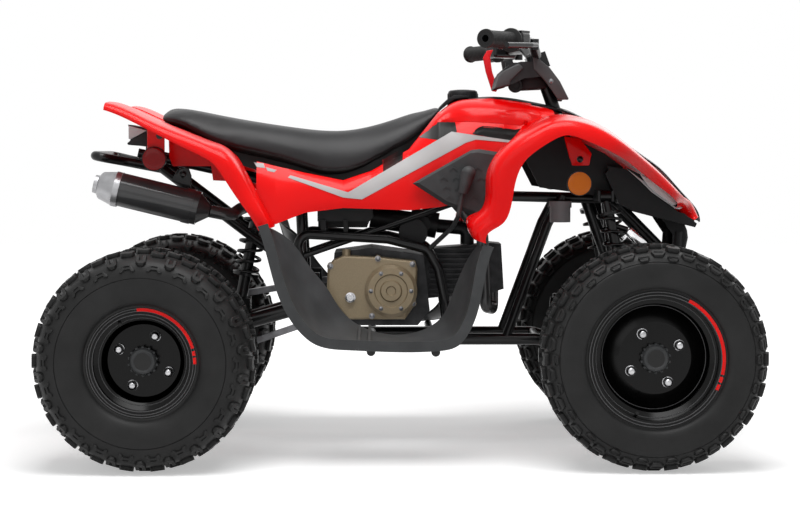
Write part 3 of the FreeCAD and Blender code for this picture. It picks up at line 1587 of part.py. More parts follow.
reservoir = fused(
    [
        rod((front(344), -114, 492), (front(344), -114, 526), 22),
        rod((front(344), -114, 526), (front(344), -114, 537), 24),
        block(front(330), -100, 500, 14, 30, 6),
    ]
)
reservoir = largest(reservoir.cut(frame))
keep("brake_reservoir", reservoir)
stem = bent([(62, -103, 432), (112, -152, 482), (122, -216, 508), (131, -221, 560)], 5, 14)
knob = Part.makeCone(10, 15, 44, Vector(131, -221, 556), Vector(0.27, 0, 1))
crown = Part.makeSphere(15, Vector(131 + 44 * 0.27, -221, 598))
lever = largest(fused([stem, knob, crown]).cut(frame))
keep("gear_lever", lever)

PAIRS = ("headlamps", "reflectors_front", "reflectors_rear", "knee_pads")
doc.recompute()
for item in doc.Objects:
    if "Invalid" in item.State or "Error" in item.State:
        raise RuntimeError(f"{item.Label} failed to build")
for label, item in nodes.items():
    shape = item.Shape
    wanted = 2 if label in PAIRS else 1
    if shape.isNull() or not shape.isValid() or len(shape.Solids) != wanted:
        raise RuntimeError(f"{label} isn't sound: {len(shape.Solids)} solids")
for label, item in nodes.items():
    item.Shape.exportStep(f"parts/{label}.step")
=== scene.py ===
"""A youth quad bike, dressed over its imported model: paint, rubber, vinyl, trim and a plain studio."""
import json
import math

import bpy
from mathutils import Matrix, Vector


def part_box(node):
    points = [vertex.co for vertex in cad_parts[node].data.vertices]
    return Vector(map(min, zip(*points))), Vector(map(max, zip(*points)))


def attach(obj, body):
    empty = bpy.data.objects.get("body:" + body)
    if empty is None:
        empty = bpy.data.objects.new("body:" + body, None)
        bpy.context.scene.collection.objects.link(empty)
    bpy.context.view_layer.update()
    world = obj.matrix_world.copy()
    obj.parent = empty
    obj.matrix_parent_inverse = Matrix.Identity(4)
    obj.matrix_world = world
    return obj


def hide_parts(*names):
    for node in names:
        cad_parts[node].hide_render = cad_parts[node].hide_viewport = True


bl_info = {
    "name": "Youth quad bike",
    "version": (1, 0, 0),
    "blender": (4, 5, 0),
    "location": "View3D > Sidebar > Quad bike",
    "description": "Finishes and trim of a youth quad bike",
    "category": "Object",
}

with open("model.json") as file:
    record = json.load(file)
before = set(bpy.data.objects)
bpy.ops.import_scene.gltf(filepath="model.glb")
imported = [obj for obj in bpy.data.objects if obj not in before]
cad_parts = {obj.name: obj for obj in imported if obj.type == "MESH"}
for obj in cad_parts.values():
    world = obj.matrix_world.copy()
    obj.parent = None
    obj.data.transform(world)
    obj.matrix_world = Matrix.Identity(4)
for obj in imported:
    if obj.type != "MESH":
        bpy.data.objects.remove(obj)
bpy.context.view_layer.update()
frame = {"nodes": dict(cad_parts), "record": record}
NODES = frame["nodes"]
MM = 0.001
SIDES = {"left": 1, "right": -1}
UPWARDS = (0, 0, 1)
ACROSS = (0, 1, 0)
FAR_OUT = 400


def linear(code):
    """An sRGB hex colour as linear light, with full alpha."""
    parts = [int(code[k : k + 2], 16) / 255 for k in (1, 3, 5)]
    return tuple(c / 12.92 if c <= 0.04045 else ((c + 0.055) / 1.055) ** 2.4 for c in parts) + (1.0,)


def tone(code):
    """A colour as linear light with full alpha, from a hex value or the name of a panel's setting."""
    if code.startswith("#"):
        return linear(code)
    return (*getattr(bpy.context.scene.quad_colours, code), 1.0)


# Materials


def new_material(name):
    """An empty node material and its tree."""
    made = bpy.data.materials.new(name)
    made.use_nodes = True
    made.node_tree.nodes.clear()
    return made, made.node_tree


def add_node(tree, kind, settings=None, values=None, links=None):
    """Adds one node, sets its properties and sockets, and links its inputs from other nodes' outputs."""
    node = tree.nodes.new(kind)
    for key, value in (settings or {}).items():
        setattr(node, key, value)
    for key, value in (values or {}).items():
        node.inputs[key].default_value = value
    for key, source in (links or {}).items():
        tree.links.new(source, node.inputs[key])
    return node


def object_space(tree, period_mm=None):
    """Object coordinates, or the same counted in periods of a real size."""
    place = add_node(tree, "ShaderNodeTexCoord").outputs["Object"]
    if period_mm is None:
        return place
    scale = {"Scale": (1 / (period_mm * MM),) * 3}
    return add_node(tree, "ShaderNodeMapping", values=scale, links={"Vector": place}).outputs["Vector"]


def close_surface(tree, values, links):
    """The finishing shader, joined to the material's output."""
    shader = add_node(tree, "ShaderNodeBsdfPrincipled", values=values, links=links)
    add_node(tree, "ShaderNodeOutputMaterial", links={"Surface": shader.outputs["BSDF"]})


def soft_noise(tree, place, **values):
    """Soft noise over a place."""
    values = {"Scale": 1.0} | values
    return add_node(tree, "ShaderNodeTexNoise", values=values, links={"Vector": place}).outputs["Fac"]


def bump(tree, height, strength, height_mm):
    """The height as a bump of a real depth."""
    values = {"Strength": strength, "Distance": height_mm * MM}
    return add_node(tree, "ShaderNodeBump", values=values, links={"Height": height}).outputs["Normal"]


def fine_grain(tree, period_mm, height_mm, detail=2.0, strength=0.4):
    """A fine even grain. period_mm is its real spacing."""
    grain = soft_noise(tree, object_space(tree, period_mm), Detail=detail, Roughness=0.55)
    return bump(tree, grain, strength, height_mm)


def cells(tree, size_mm, randomness, feature="F1", metric="EUCLIDEAN"):
    """Cells of a real size, as leather grain and lens prisms have."""
    node = add_node(
        tree,
        "ShaderNodeTexVoronoi",
        {"feature": feature, "distance": metric},
        {"Scale": 1.0, "Randomness": randomness},
        {"Vector": object_space(tree, size_mm)},
    )
    return node.outputs["Distance"]


def coloured_ramp(tree, source, stops):
    """A ramp whose stops are (place, colour)."""
    ramp = add_node(tree, "ShaderNodeValToRGB", links={"Fac": source})
    elements = ramp.color_ramp.elements
    while len(elements) < len(stops):
        elements.new(0.5)
    for element, (at, colour) in zip(elements, stops):
        element.position = at
        element.color = tone(colour)
    return ramp.outputs["Color"]


def skin(name, colours, drift_mm, values, relief, spread=(0.35, 0.7)):
    """A surface that drifts softly between two near colours, as handling and moulding leave it."""
    made, tree = new_material(name)
    drift = soft_noise(tree, object_space(tree, drift_mm), Detail=3.0)
    colour = coloured_ramp(tree, drift, tuple(zip(spread, colours)))
    close_surface(tree, values, {"Base Color": colour, "Normal": relief(tree)})
    return made


def moulded_plastic(name, dark, light, roughness, coat=0.0):
    """Injection-moulded body plastic: even colour, with the slight waviness of a moulded skin."""
    gloss = {"Roughness": roughness, "IOR": 1.49, "Specular IOR Level": 0.16}
    gloss |= {"Coat Weight": coat, "Coat Roughness": 0.08}
    return skin(name, (dark, light), 160.0, gloss, lambda tree: fine_grain(tree, 9.0, 0.02))


def vinyl_film(name, dark, light):
    """Cast vinyl film: flat even colour and a smooth low gloss."""
    gloss = {"Roughness": 0.4, "IOR": 1.5, "Specular IOR Level": 0.15}
    return skin(name, (dark, light), 90.0, gloss, lambda tree: fine_grain(tree, 14.0, 0.01))


def faded_film(name, *stops):
    """Printed vinyl film whose colour changes along the bike. A stop is (place along in mm, colour)."""
    made, tree = new_material(name)
    split = add_node(tree, "ShaderNodeSeparateXYZ", links={"Vector": object_space(tree)})
    first, last = stops[0][0], stops[-1][0]
    share = add_node(
        tree,
        "ShaderNodeMapRange",
        values={"From Min": first * MM, "From Max": last * MM},
        links={"Value": split.outputs["X"]},
    )
    shares = [((at - first) / (last - first), colour) for at, colour in stops]
    colour = coloured_ramp(tree, share.outputs["Result"], shares)
    close_surface(tree, {"Roughness": 0.3, "IOR": 1.5, "Specular IOR Level": 0.12}, {"Base Color": colour})
    return made


def wheel_enamel(name, dark, light):
    """Stoved black enamel on pressed steel: deep and smooth, so only its edges catch the lamps."""
    gloss = {"Roughness": 0.2, "Specular IOR Level": 0.16}
    return skin(name, (dark, light), 80.0, gloss, lambda tree: fine_grain(tree, 5.0, 0.015))


def sprayed_metallic(name, dark, light):
    """Bronze metallic paint on a casting: fine flake of about half a millimetre under a satin skin."""
    gloss = {"Metallic": 0.35, "Roughness": 0.42, "Coat Weight": 0.1, "Coat Roughness": 0.2}
    return skin(name, (dark, light), 1.2, gloss, lambda tree: fine_grain(tree, 1.5, 0.05, 3.0), (0.3, 0.75))


def grained_plastic(name, dark, light, roughness=0.55):
    """Polypropylene with a moulded leather-like grain, drawn a little coarse so that it shows."""
    gloss = {"Roughness": roughness, "IOR": 1.49, "Specular IOR Level": 0.2}
    return skin(name, (dark, light), 45.0, gloss, lambda tree: bump(tree, cells(tree, 1.4, 1.0), 0.35, 0.12))


def enamelled_steel(name, dark, light, roughness=0.32, coat=0.2):
    """Powder-coated steel tube: even satin colour with a fine orange peel."""
    gloss = {"Roughness": roughness, "Specular IOR Level": 0.18, "Coat Weight": coat, "Coat Roughness": 0.1}
    return skin(name, (dark, light), 80.0, gloss, lambda tree: fine_grain(tree, 2.2, 0.03))


def turning_marks(tree, spacing_mm, axis):
    """The fine rings that a lathe leaves round the given axis."""
    along_rings = 60.0
    stretch = [along_rings] * 3
    stretch[axis] = 1 / (spacing_mm * MM)
    place = {"Vector": object_space(tree)}
    spread = add_node(tree, "ShaderNodeMapping", values={"Scale": tuple(stretch)}, links=place)
    return bump(tree, soft_noise(tree, spread.outputs["Vector"], Detail=1.0), 0.3, 0.06)


def plain_metal(name, dark, light, roughness):
    """Cast or plated metal: a fine uneven grain."""
    gloss = {"Metallic": 1.0, "Roughness": roughness}
    return skin(name, (dark, light), 25.0, gloss, lambda tree: fine_grain(tree, 1.6, 0.09, 4.0))


def turned_metal(name, dark, light, roughness, spacing_mm, axis=1):
    """Machined metal: bright, with turning marks round the given axis."""
    gloss = {"Metallic": 1.0, "Roughness": roughness}
    return skin(name, (dark, light), 25.0, gloss, lambda tree: turning_marks(tree, spacing_mm, axis))


def tyre_rubber(name, dark, light):
    """Vulcanised rubber: near black, dull, a little dusty, with a fine mould texture."""
    gloss = {"Roughness": 0.5, "IOR": 1.52, "Specular IOR Level": 0.2}
    return skin(name, (dark, light), 60.0, gloss, lambda tree: fine_grain(tree, 1.8, 0.16, 5.0, 0.5))


def leather_grain(tree):
    """Pebbles of about 2 mm with narrow creases between them."""
    edge = cells(tree, 2.2, 0.9, "DISTANCE_TO_EDGE")
    crease = add_node(tree, "ShaderNodeMapRange", values={"From Max": 0.25}, links={"Value": edge})
    return bump(tree, crease.outputs["Result"], 0.35, 0.15)


def seat_vinyl(name, dark, light):
    """Embossed upholstery vinyl: a pebbled leather grain with a soft sheen."""
    gloss = {"Roughness": 0.42, "IOR": 1.5, "Specular IOR Level": 0.22}
    return skin(name, (dark, light), 70.0, gloss, leather_grain)


def moulded_lens(name, colour, roughness=0.08):
    """A tinted acrylic lens with a prismatic inner face that breaks up the light."""
    made, tree = new_material(name)
    prisms = bump(tree, cells(tree, 3.0, 0.0, metric="CHEBYCHEV"), 0.5, 0.5)
    gloss = {"Roughness": roughness, "IOR": 1.49, "Specular IOR Level": 0.12}
    gloss |= {"Coat Weight": 0.1, "Coat Roughness": 0.05}
    close_surface(tree, {"Base Color": tone(colour)} | gloss, {"Normal": prisms})
    return made


def plainly_seen(tree, own, shown):
    """A shader that is itself where light falls, and the shown one to the camera, glossy metal and glass."""
    path = add_node(tree, "ShaderNodeLightPath")
    share = path.outputs["Is Camera Ray"]
    for ray in ("Is Glossy Ray", "Is Transmission Ray"):
        either = {0: share, 1: path.outputs[ray]}
        share = add_node(tree, "ShaderNodeMath", {"operation": "MAXIMUM"}, links=either).outputs["Value"]
    return add_node(tree, "ShaderNodeMixShader", links={"Fac": share, 1: own, 2: shown}).outputs["Shader"]


def studio_paper(name, tint, near_glow, far_glow):
    """Matte backdrop paper. The camera sees it brighter farther from the lamps, so it stays white."""
    made, tree = new_material(name)
    paper = add_node(tree, "ShaderNodeBsdfDiffuse", values={"Color": tone(tint)}).outputs["BSDF"]
    place = {"Vector": object_space(tree)}
    away = add_node(tree, "ShaderNodeVectorMath", {"operation": "LENGTH"}, links=place)
    glow = add_node(
        tree,
        "ShaderNodeMapRange",
        {"interpolation_type": "SMOOTHSTEP"},
        {"From Min": 0.7, "From Max": 3.0, "To Min": near_glow, "To Max": far_glow},
        {"Value": away.outputs["Value"]},
    )
    white = {"Color": tone("#FFFFFF")}
    light = add_node(tree, "ShaderNodeEmission", values=white, links={"Strength": glow.outputs["Result"]})
    total = add_node(tree, "ShaderNodeAddShader", links={0: paper, 1: light.outputs["Emission"]})
    seen = plainly_seen(tree, paper, total.outputs["Shader"])
    add_node(tree, "ShaderNodeOutputMaterial", links={"Surface": seen})
    return made


MATERIALS = {}


def material(key):
    """The finish of that name, made on its first use."""
    if key not in MATERIALS:
        maker, *values = FINISHES[key]
        MATERIALS[key] = maker(*values)
    return MATERIALS[key]


FINISHES = {
    "red body plastic": (moulded_plastic, "Gloss red ABS", "body_deep", "body_light", 0.24, 0.08),
    "dark body plastic": (grained_plastic, "Grained dark polypropylene", "#232324", "#2C2C2D"),
    "pad plastic": (grained_plastic, "Grained pad plastic", "#353637", "#404142", 0.5),
    "pod plastic": (grained_plastic, "Grained pod plastic", "#424344", "#4D4E4F", 0.5),
    "tray plastic": (grained_plastic, "Grained grey polypropylene", "#38393A", "#424344", 0.5),
    "black strip plastic": (grained_plastic, "Satin black ABS", "#101011", "#18181A", 0.42),
    "seat base plastic": (grained_plastic, "Seat base plastic", "#0B0B0B", "#121212"),
    "bright trim": (moulded_plastic, "Silver painted trim", "#C9C9CB", "#DADADC", 0.25, 0.3),
    "red webbing": (moulded_plastic, "Red polyurethane strap", "#C8141A", "#D9222A", 0.4),
    "stripe film": (vinyl_film, "Silver vinyl film", "stripe_deep", "stripe_light"),
    "red film": (vinyl_film, "Red vinyl film", "band_deep", "band_light"),
    "rear fade film": (faded_film, "Rear fade film", (-38, "#E80A08"), (-34, "#3A0404"), (0, "#0B0B0B")),
    "tank fade film": (faded_film, "Tank fade film", (44, "#777777"), (68, "#3C3C3C"), (96, "#070707")),
    "frame enamel": (enamelled_steel, "Black powder coat", "#0E0E0F", "#171718"),
    "black steel": (enamelled_steel, "Blacked steel", "#0B0B0B", "#141414", 0.3),
    "can coating": (enamelled_steel, "Heatproof black coating", "#343435", "#3F3F40", 0.36, 0.5),
    "gloss wheel enamel": (wheel_enamel, "Gloss black wheel enamel", "#020202", "#050505"),
    # Light grey for the rims' rolled edges: a painted highlight, standing in for the lamps' reflections on
    # black enamel
    "highlight grey enamel": (wheel_enamel, "Rubbed wheel enamel", "#4A4A4B", "#565657"),
    "tread rubber": (tyre_rubber, "Tread rubber", "#171717", "#212121"),
    "grip rubber": (tyre_rubber, "Grip rubber", "#121212", "#1B1B1B"),
    "hose rubber": (tyre_rubber, "Hose rubber", "#0E0E0E", "#161616"),
    "vinyl": (seat_vinyl, "Embossed black vinyl", "#1E1E1F", "#272728"),
    "zinc": (plain_metal, "Bright zinc plate", "#A6A6A8", "#BEBEC0", 0.25),
    "dark cast alloy": (plain_metal, "Dark cast aluminium", "#2C2C2D", "#3B3B3C", 0.5),
    "turned steel": (turned_metal, "Turned steel", "#6E6E70", "#8C8C8F", 0.35, 0.8),
    "bright alloy": (turned_metal, "Machined aluminium", "#929294", "#A6A6A8", 0.34, 0.7, 0),
    "polished alloy": (turned_metal, "Polished aluminium", "#E4E4E6", "#F4F4F5", 0.2, 1.2),
    "bronze paint": (sprayed_metallic, "Bronze engine paint", "engine_deep", "engine_light"),
    "amber lens": (moulded_lens, "Amber acrylic", "#B85C04"),
    "red lens": (moulded_lens, "Red acrylic", "#860408"),
    "clear lens": (moulded_lens, "Clear acrylic", "#EEF0F1"),
    "cloudy tank": (moulded_lens, "Cloudy polyethylene", "#8A8B8D", 0.35),
    "floor paper": (studio_paper, "White backdrop paper", "#E9E9E9", 0.42, 0.85),
}

CAD_FINISHES = {
    "tread rubber": "tyre_",
    "gloss wheel enamel": "rim_",
    "black steel": "hub_ rear_axle",
    "turned steel": "rear_sprocket chain",
    "frame enamel": "arm_ frame grab_bar handlebar knuckle_ lever_ shock_ steering_column swingarm tie_rod_",
    "dark body plastic": "bumper bar_pod",
    "grip rubber": "grip_",
    "red body plastic": "fender_ side_panel_",
    "black strip plastic": "fascia fuel_cap headlamps hood_strip intake reflectors_ tail_lamp",
    "pad plastic": "knee_pads gear_lever",
    "tray plastic": "footwell_",
    "vinyl": "seat",
    "bronze paint": "engine_cover",
    "dark cast alloy": "engine",
    "can coating": "exhaust_pipe silencer",
    "cloudy tank": "brake_reservoir",
}


def finish_for(node):
    """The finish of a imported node: the one that lists the longest start of its name."""
    fits = [(start, key) for key, starts in CAD_FINISHES.items() for start in starts.split()]
    return max((len(start), key) for start, key in fits if node.startswith(start))[1]


# Shared ways of making a piece


def deselect():
    """Leaves nothing selected."""
    bpy.ops.object.select_all(action="DESELECT")


def take(obj):
    """Makes the object the only selected one, and active."""
    deselect()
    obj.select_set(True)
    bpy.context.view_layer.objects.active = obj


def settle(obj, name, finish, body="chassis", slot=None, smooth=None):
    """Names a piece, applies its place to its mesh, gives it its finish and seats it on its body."""
    take(obj)
    bpy.ops.object.transform_apply(location=True, rotation=True, scale=True)
    obj.name = name
    obj.data.name = name
    obj.data.materials.clear()
    obj.data.materials.append(material(finish))
    if smooth is not None:
        bpy.ops.object.shade_smooth_by_angle(angle=math.radians(smooth))
    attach(obj, body)
    return obj


def start(obj):
    """Takes the object into edit mode with all of it selected."""
    take(obj)
    bpy.ops.object.mode_set(mode="EDIT")
    bpy.ops.mesh.select_all(action="SELECT")


def leave():
    """Leaves edit mode and gives the object back."""
    bpy.ops.object.mode_set(mode="OBJECT")
    return bpy.context.object


def tidy_mesh(gap=1e-6):
    """Merges doubles and turns all the faces outwards. It works in edit mode."""
    bpy.ops.mesh.select_all(action="SELECT")
    bpy.ops.mesh.remove_doubles(threshold=gap)
    bpy.ops.mesh.normals_make_consistent(inside=False)


def trace(points):
    """An open outline drawn by extruding one vertex from point to point. It stays in edit mode."""
    deselect()
    bpy.ops.mesh.primitive_plane_add(size=MM, location=points[0])
    bpy.ops.object.mode_set(mode="EDIT")
    bpy.ops.mesh.merge(type="CENTER")
    for before, after in zip(points, points[1:]):
        bpy.ops.mesh.extrude_region_move(TRANSFORM_OT_translate={"value": Vector(after) - Vector(before)})
    return bpy.context.object


def lathe(points, centre, axis, steps, whole=True):
    """A profile spun once round an axis. Whole means that the profile closes on itself."""
    trace(list(points) + ([points[0]] if whole else []))
    bpy.ops.mesh.select_all(action="SELECT")
    bpy.ops.mesh.spin(steps=steps, angle=2 * math.pi, center=centre, axis=axis)
    tidy_mesh(1e-5)
    return leave()


def slab(points, depth):
    """A flat outline filled and pulled out along a vector. It stays in object mode."""
    trace(list(points) + [points[0]])
    bpy.ops.mesh.select_all(action="SELECT")
    bpy.ops.mesh.remove_doubles(threshold=1e-6)
    bpy.ops.mesh.edge_face_add()
    bpy.ops.mesh.extrude_region_move(TRANSFORM_OT_translate={"value": depth})
    tidy_mesh()
    return leave()


def repeat_round(obj, count, centre, axis):
    """Copies the whole mesh evenly round an axis."""
    start(obj)
    bpy.ops.mesh.spin(
        steps=count - 1,
        dupli=True,
        angle=2 * math.pi * (count - 1) / count,
        center=centre,
        axis=axis,
    )
    return leave()


def joined(objects):
    """Joins the objects into the first one."""
    deselect()
    for obj in objects:
        obj.select_set(True)
    bpy.context.view_layer.objects.active = objects[0]
    bpy.ops.object.join()
    return bpy.context.object


def apply_modifier(obj, kind, **settings):
    """Adds one modifier, sets it and applies it."""
    take(obj)
    modifier = obj.modifiers.new(kind.title(), kind)
    for key, value in settings.items():
        setattr(modifier, key, value)
    bpy.ops.object.modifier_apply(modifier=modifier.name)
    return obj


def bevel(obj, width, segments=2, angle=40):
    """Rounds the edges that are sharper than the angle."""
    return apply_modifier(
        obj,
        "BEVEL",
        width=width,
        segments=segments,
        limit_method="ANGLE",
        angle_limit=math.radians(angle),
        harden_normals=False,
    )


def face_out(obj):
    """Turns all the faces outwards."""
    start(obj)
    bpy.ops.mesh.normals_make_consistent(inside=False)
    return leave()


def mirror_copy(obj, name, finish, body, slot):
    """The same piece on the other side of the bike, with its own mesh."""
    take(obj)
    bpy.ops.object.duplicate()
    twin = bpy.context.object
    twin.scale.y = -1
    bpy.ops.object.transform_apply(location=False, rotation=False, scale=True)
    return settle(face_out(twin), name, finish, body, slot)


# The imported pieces' finishes


class QUAD_OT_finish_frame(bpy.types.Operator):
    """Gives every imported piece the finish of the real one."""

    bl_idname = "quad.finish_frame"
    bl_label = "Finish the packed pieces"

    def execute(self, context):
        for name, obj in NODES.items():
            obj.data.materials.clear()
            obj.data.materials.append(material(finish_for(name)))
            take(obj)
            bpy.ops.object.shade_smooth_by_angle(angle=context.scene.quad_body.smooth_angle)
        return {"FINISHED"}


# Tyres


def quarter(steps):
    """The turns of a quarter circle in even steps, both ends included."""
    return [math.pi / 2 * k / steps for k in range(steps + 1)]


def tyre_section(wheel):
    """Half the tyre's outer section as (distance from the wheel's middle plane, radius)."""
    power = 2 / wheel.squareness
    rows = []
    for turn in reversed(quarter(14)):
        rise = math.sin(turn) ** power
        rows.append((wheel.half * math.cos(turn) ** power, wheel.belly + (wheel.crown - wheel.belly) * rise))
    foot = wheel.flange + 3 * MM
    for turn in quarter(8)[1:-1]:
        across = wheel.seat + (wheel.half - wheel.seat) * math.cos(turn)
        rows.append((across, wheel.belly - (wheel.belly - foot) * math.sin(turn)))
    return rows + [(wheel.seat, foot)]


def with_groove(rows, radius, depth, width):
    """The section with one thin moulded line pressed into the side wall at a radius."""
    out = []
    for (y0, r0), (y1, r1) in zip(rows, rows[1:]):
        out.append((y0, r0))
        if r0 > radius >= r1:
            y = y0 + (y1 - y0) * (r0 - radius) / (r0 - r1)
            out += [(y, radius + width / 2), (y - depth, radius), (y, radius - width / 2)]
    return out + [rows[-1]]


class Wheel:
    """The sizes of one wheel, read from its packed tyre and rim."""

    squareness = 4.0
    belly_share = 0.42

    def __init__(self, end, side, trim):
        self.end, self.side = end, side
        low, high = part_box(f"tyre_{end}_{side}")
        rim_low, rim_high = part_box(f"rim_{end}_{side}")
        self.centre = (rim_low + rim_high) / 2
        self.sign = SIDES[side]
        self.tip = high.z - self.centre.z
        self.crown = self.tip - trim.lug_height
        self.half = (high.y - low.y) / 2 - trim.wall_relief
        self.flange = (rim_high.z - rim_low.z) / 2
        self.bead = self.flange - trim.flange_height
        self.belly = self.bead + self.belly_share * (self.crown - self.bead)
        self.seat = (rim_high.y - rim_low.y) / 2 - trim.rim_wall
        self.body = "rear_wheels" if end == "rear" else f"wheel_front_{side}"

    def at(self, out, radius, turn=0.0):
        """A point by its distance outwards, its radius and its turn from the top forwards."""
        return self.centre + Vector((radius * math.sin(turn), self.sign * out, radius * math.cos(turn)))


LUG_OUTLINES = {
    # Millimetres round the tyre, and across it towards the rim
    "crescent": (
        (-10, -8), (-4, -9.5), (4, -9.5), (10, -8), (17, 4), (15, 8),
        (10, 7), (6, 1), (-6, 1), (-10, 7), (-15, 8), (-17, 4),
    ),
    "cup": (
        (-13, -15), (-4.5, -15), (-4.5, 3), (4.5, 3), (4.5, -15),
        (13, -15), (13, 7), (6, 14), (-6, 14), (-13, 7),
    ),
    "crown": (
        (-18, -14), (-6, -14), (-5, -7), (5, -7), (6, -14),
        (18, -14), (20, 2), (14, 14), (-14, 14), (-20, 2),
    ),
    "bracket": ((-15, -8), (15, -8), (19, -2), (11, 8), (-11, 8), (-19, -2)),
}
# Each slot's length round the tyre, its width and its place across the block in millimetres
LUG_SLOTS = {"crescent": (12, 3.0, -4.5), "bracket": (18, 3.4, -1)}
LUG_ROWS = {
    # share of the half width, outline, size round, size across, height in mm, phase in steps
    "rear": (
        (0.28, "crown", 0.9, 1.2, 9, 0.0),
        (0.6, "crown", 0.85, 1.0, 8.5, 0.54),
        (0.87, "cup", 0.9, 1.1, 6, 0.04),
        (0.965, "crescent", 1.05, 0.95, 3.8, 0.54),
    ),
    "front": (
        (0.28, "crown", 0.9, 1.0, 9, 0.0),
        (0.64, "crown", 0.85, 1.0, 8.5, 0.5),
        (0.86, "bracket", 0.9, 1.2, 5.5, 0.0),
        (0.94, "bracket", 0.75, 0.9, 4, 0.5),
    ),
}
LUG_ROOT = 4 * MM
LUG_TAPER = 0.86
SLOT_DEPTH = 4 * MM
CARCASS_WALL = 10 * MM


def lug(wheel, share, kind, size_round, size_across, height, turn, flip):
    """One tread block, seated on the carcass and facing away from it."""
    rows = tyre_section(wheel)
    target = share * wheel.half
    (y0, r0), (y1, r1) = next(pair for pair in zip(rows, rows[1:]) if pair[0][0] <= target <= pair[1][0])
    radius = r0 + (r1 - r0) * (target - y0) / (y1 - y0)
    lean = math.atan2(r0 - r1, y1 - y0)
    outline = [(x * size_round * MM, y * size_across * MM, -LUG_ROOT) for x, y in LUG_OUTLINES[kind]]
    block = slab(outline, Vector((0, 0, height + LUG_ROOT)))
    for face in block.data.polygons:
        face.select = face.normal.z > 0.9
    take(block)
    bpy.ops.object.mode_set(mode="EDIT")
    bpy.ops.transform.resize(value=(LUG_TAPER, LUG_TAPER, 1), center_override=(0, 0, height))
    leave()
    if kind in LUG_SLOTS:
        long, wide, at = (v * MM for v in LUG_SLOTS[kind])
        deselect()
        bpy.ops.mesh.primitive_cube_add(size=1, location=(0, at, height), scale=(long, wide, SLOT_DEPTH))
        cutter = bpy.context.object
        apply_modifier(block, "BOOLEAN", operation="DIFFERENCE", object=cutter)
        bpy.data.objects.remove(cutter)
    bevel(block, 0.8 * MM, 1, 50)
    way = wheel.sign * flip
    block.matrix_world = (
        Matrix.Translation(wheel.centre)
        @ Matrix.Rotation(turn, 4, "Y")
        @ Matrix.Translation((0, way * target, radius))
        @ Matrix.Rotation(-way * lean, 4, "X")
        @ Matrix.Rotation(math.pi if way < 0 else 0.0, 4, "Z")
        @ block.matrix_world
    )
    take(block)
    bpy.ops.object.transform_apply(location=True, rotation=True, scale=True)
    return block


class QUAD_OT_tyres(bpy.types.Operator):
    """Moulds the four knobbly tyres."""

    bl_idname = "quad.tyres"
    bl_label = "Tyres"

    def execute(self, context):
        trim = context.scene.quad_tyre
        for end, line in (("rear", trim.rear_wall_line), ("front", trim.front_wall_line)):
            wheel = Wheel(end, "left", trim)
            rows = with_groove(tyre_section(wheel), line, 1.2 * MM, 2.4 * MM)
            inside = (wheel.half - CARCASS_WALL, wheel.belly), (0, wheel.crown - CARCASS_WALL)
            loop = rows + [(wheel.seat, wheel.bead), *inside]
            near = [wheel.at(out, radius) for out, radius in loop]
            far = [wheel.at(-out, radius) for out, radius in reversed(loop[1:-1])]
            blocks = [lathe(near + far, wheel.centre, ACROSS, trim.steps)]
            count = trim.rear_lugs if end == "rear" else trim.front_lugs
            step = 2 * math.pi / count
            for share, kind, size_round, size_across, height, phase in LUG_ROWS[end]:
                for flip, stagger in ((1, 0.0), (-1, 0.5)):
                    turn = (phase + stagger) * step
                    block = lug(wheel, share, kind, size_round, size_across, height * MM, turn, flip)
                    blocks.append(repeat_round(block, count, wheel.centre, ACROSS))
            whole = settle(joined(blocks), f"tread_{end}_left", "tread rubber", wheel.body, "tyre", 42)
            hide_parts(f"tyre_{end}_left")
            other_body = Wheel(end, "right", trim).body
            twin = mirror_copy(whole, f"tread_{end}_right", "tread rubber", other_body, "tyre")
            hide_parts(f"tyre_{end}_right")
        return {"FINISHED"}


# Wheel trim


def arc_band(wheel, out, first_deg, last_deg):
    """A thin curved band on the wheel's outer lip, between two turns from the top forwards."""
    first = math.radians(first_deg)
    radius = wheel.flange - BAND_INSET
    trace([wheel.at(out, radius + BAND_WIDTH * side, first) for side in (-0.5, 0.5)])
    bpy.ops.mesh.select_all(action="SELECT")
    bpy.ops.mesh.spin(
        steps=max(2, int(abs(last_deg - first_deg) / 3)),
        angle=-math.radians(last_deg - first_deg),
        center=wheel.centre,
        axis=ACROSS,
        use_auto_merge=False,
    )
    return apply_modifier(leave(), "SOLIDIFY", thickness=BAND_THICKNESS, offset=0)


BAND_INSET = 4.6 * MM
BAND_WIDTH = 6.6 * MM
BAND_THICKNESS = 0.5 * MM
BAND_GAP = 0.3 * MM
# The rolled edges' radii in millimetres
RIM_LINES = {"rear": (108.5, 103.5, 97, 88), "front": (135, 129, 120, 105)}
# Turns in degrees from the top forwards: each band's two ends, the first nut and the valve
RIM_BANDS = {"rear": ((-4, 74), (77, 82), (84, 91)), "front": ((28, 103), (105, 110), (112, 117))}
NUT_TURNS = {("rear", "right"): 25, ("rear", "left"): 65, ("front", "right"): 62, ("front", "left"): 28}
VALVE_TURNS = {"rear": -28, "front": 200}
PROBE_TURN = 200
PROBE_START = 0.3
STUDS = 4
HUB_RIBS = 14
# Profiles: each row is (distance out, radius) in millimetres, and the stem's first number a share of its length
RIM_EDGE = ((-0.8, -1.1), (-0.8, 1.1), (0.4, 0.8), (0.6, 0), (0.4, -0.8))
HUB_CAP = ((-20, 0), (-20, 28), (-4, 27), (0.5, 24), (1.5, 21), (0.5, 18), (-1.5, 16), (-1.0, 0))
WHEEL_NUT = ((-0.5, 0), (-0.5, 11), (2, 11), (3, 9.2), (11, 9.2), (15, 7.4), (17, 4.4), (17.8, 0))
VALVE_STEM = ((0, 0), (0, 5), (0.25, 4), (0.3, 3), (0.75, 2.6), (0.78, 3.8), (1.0, 3.8), (1.0, 0))


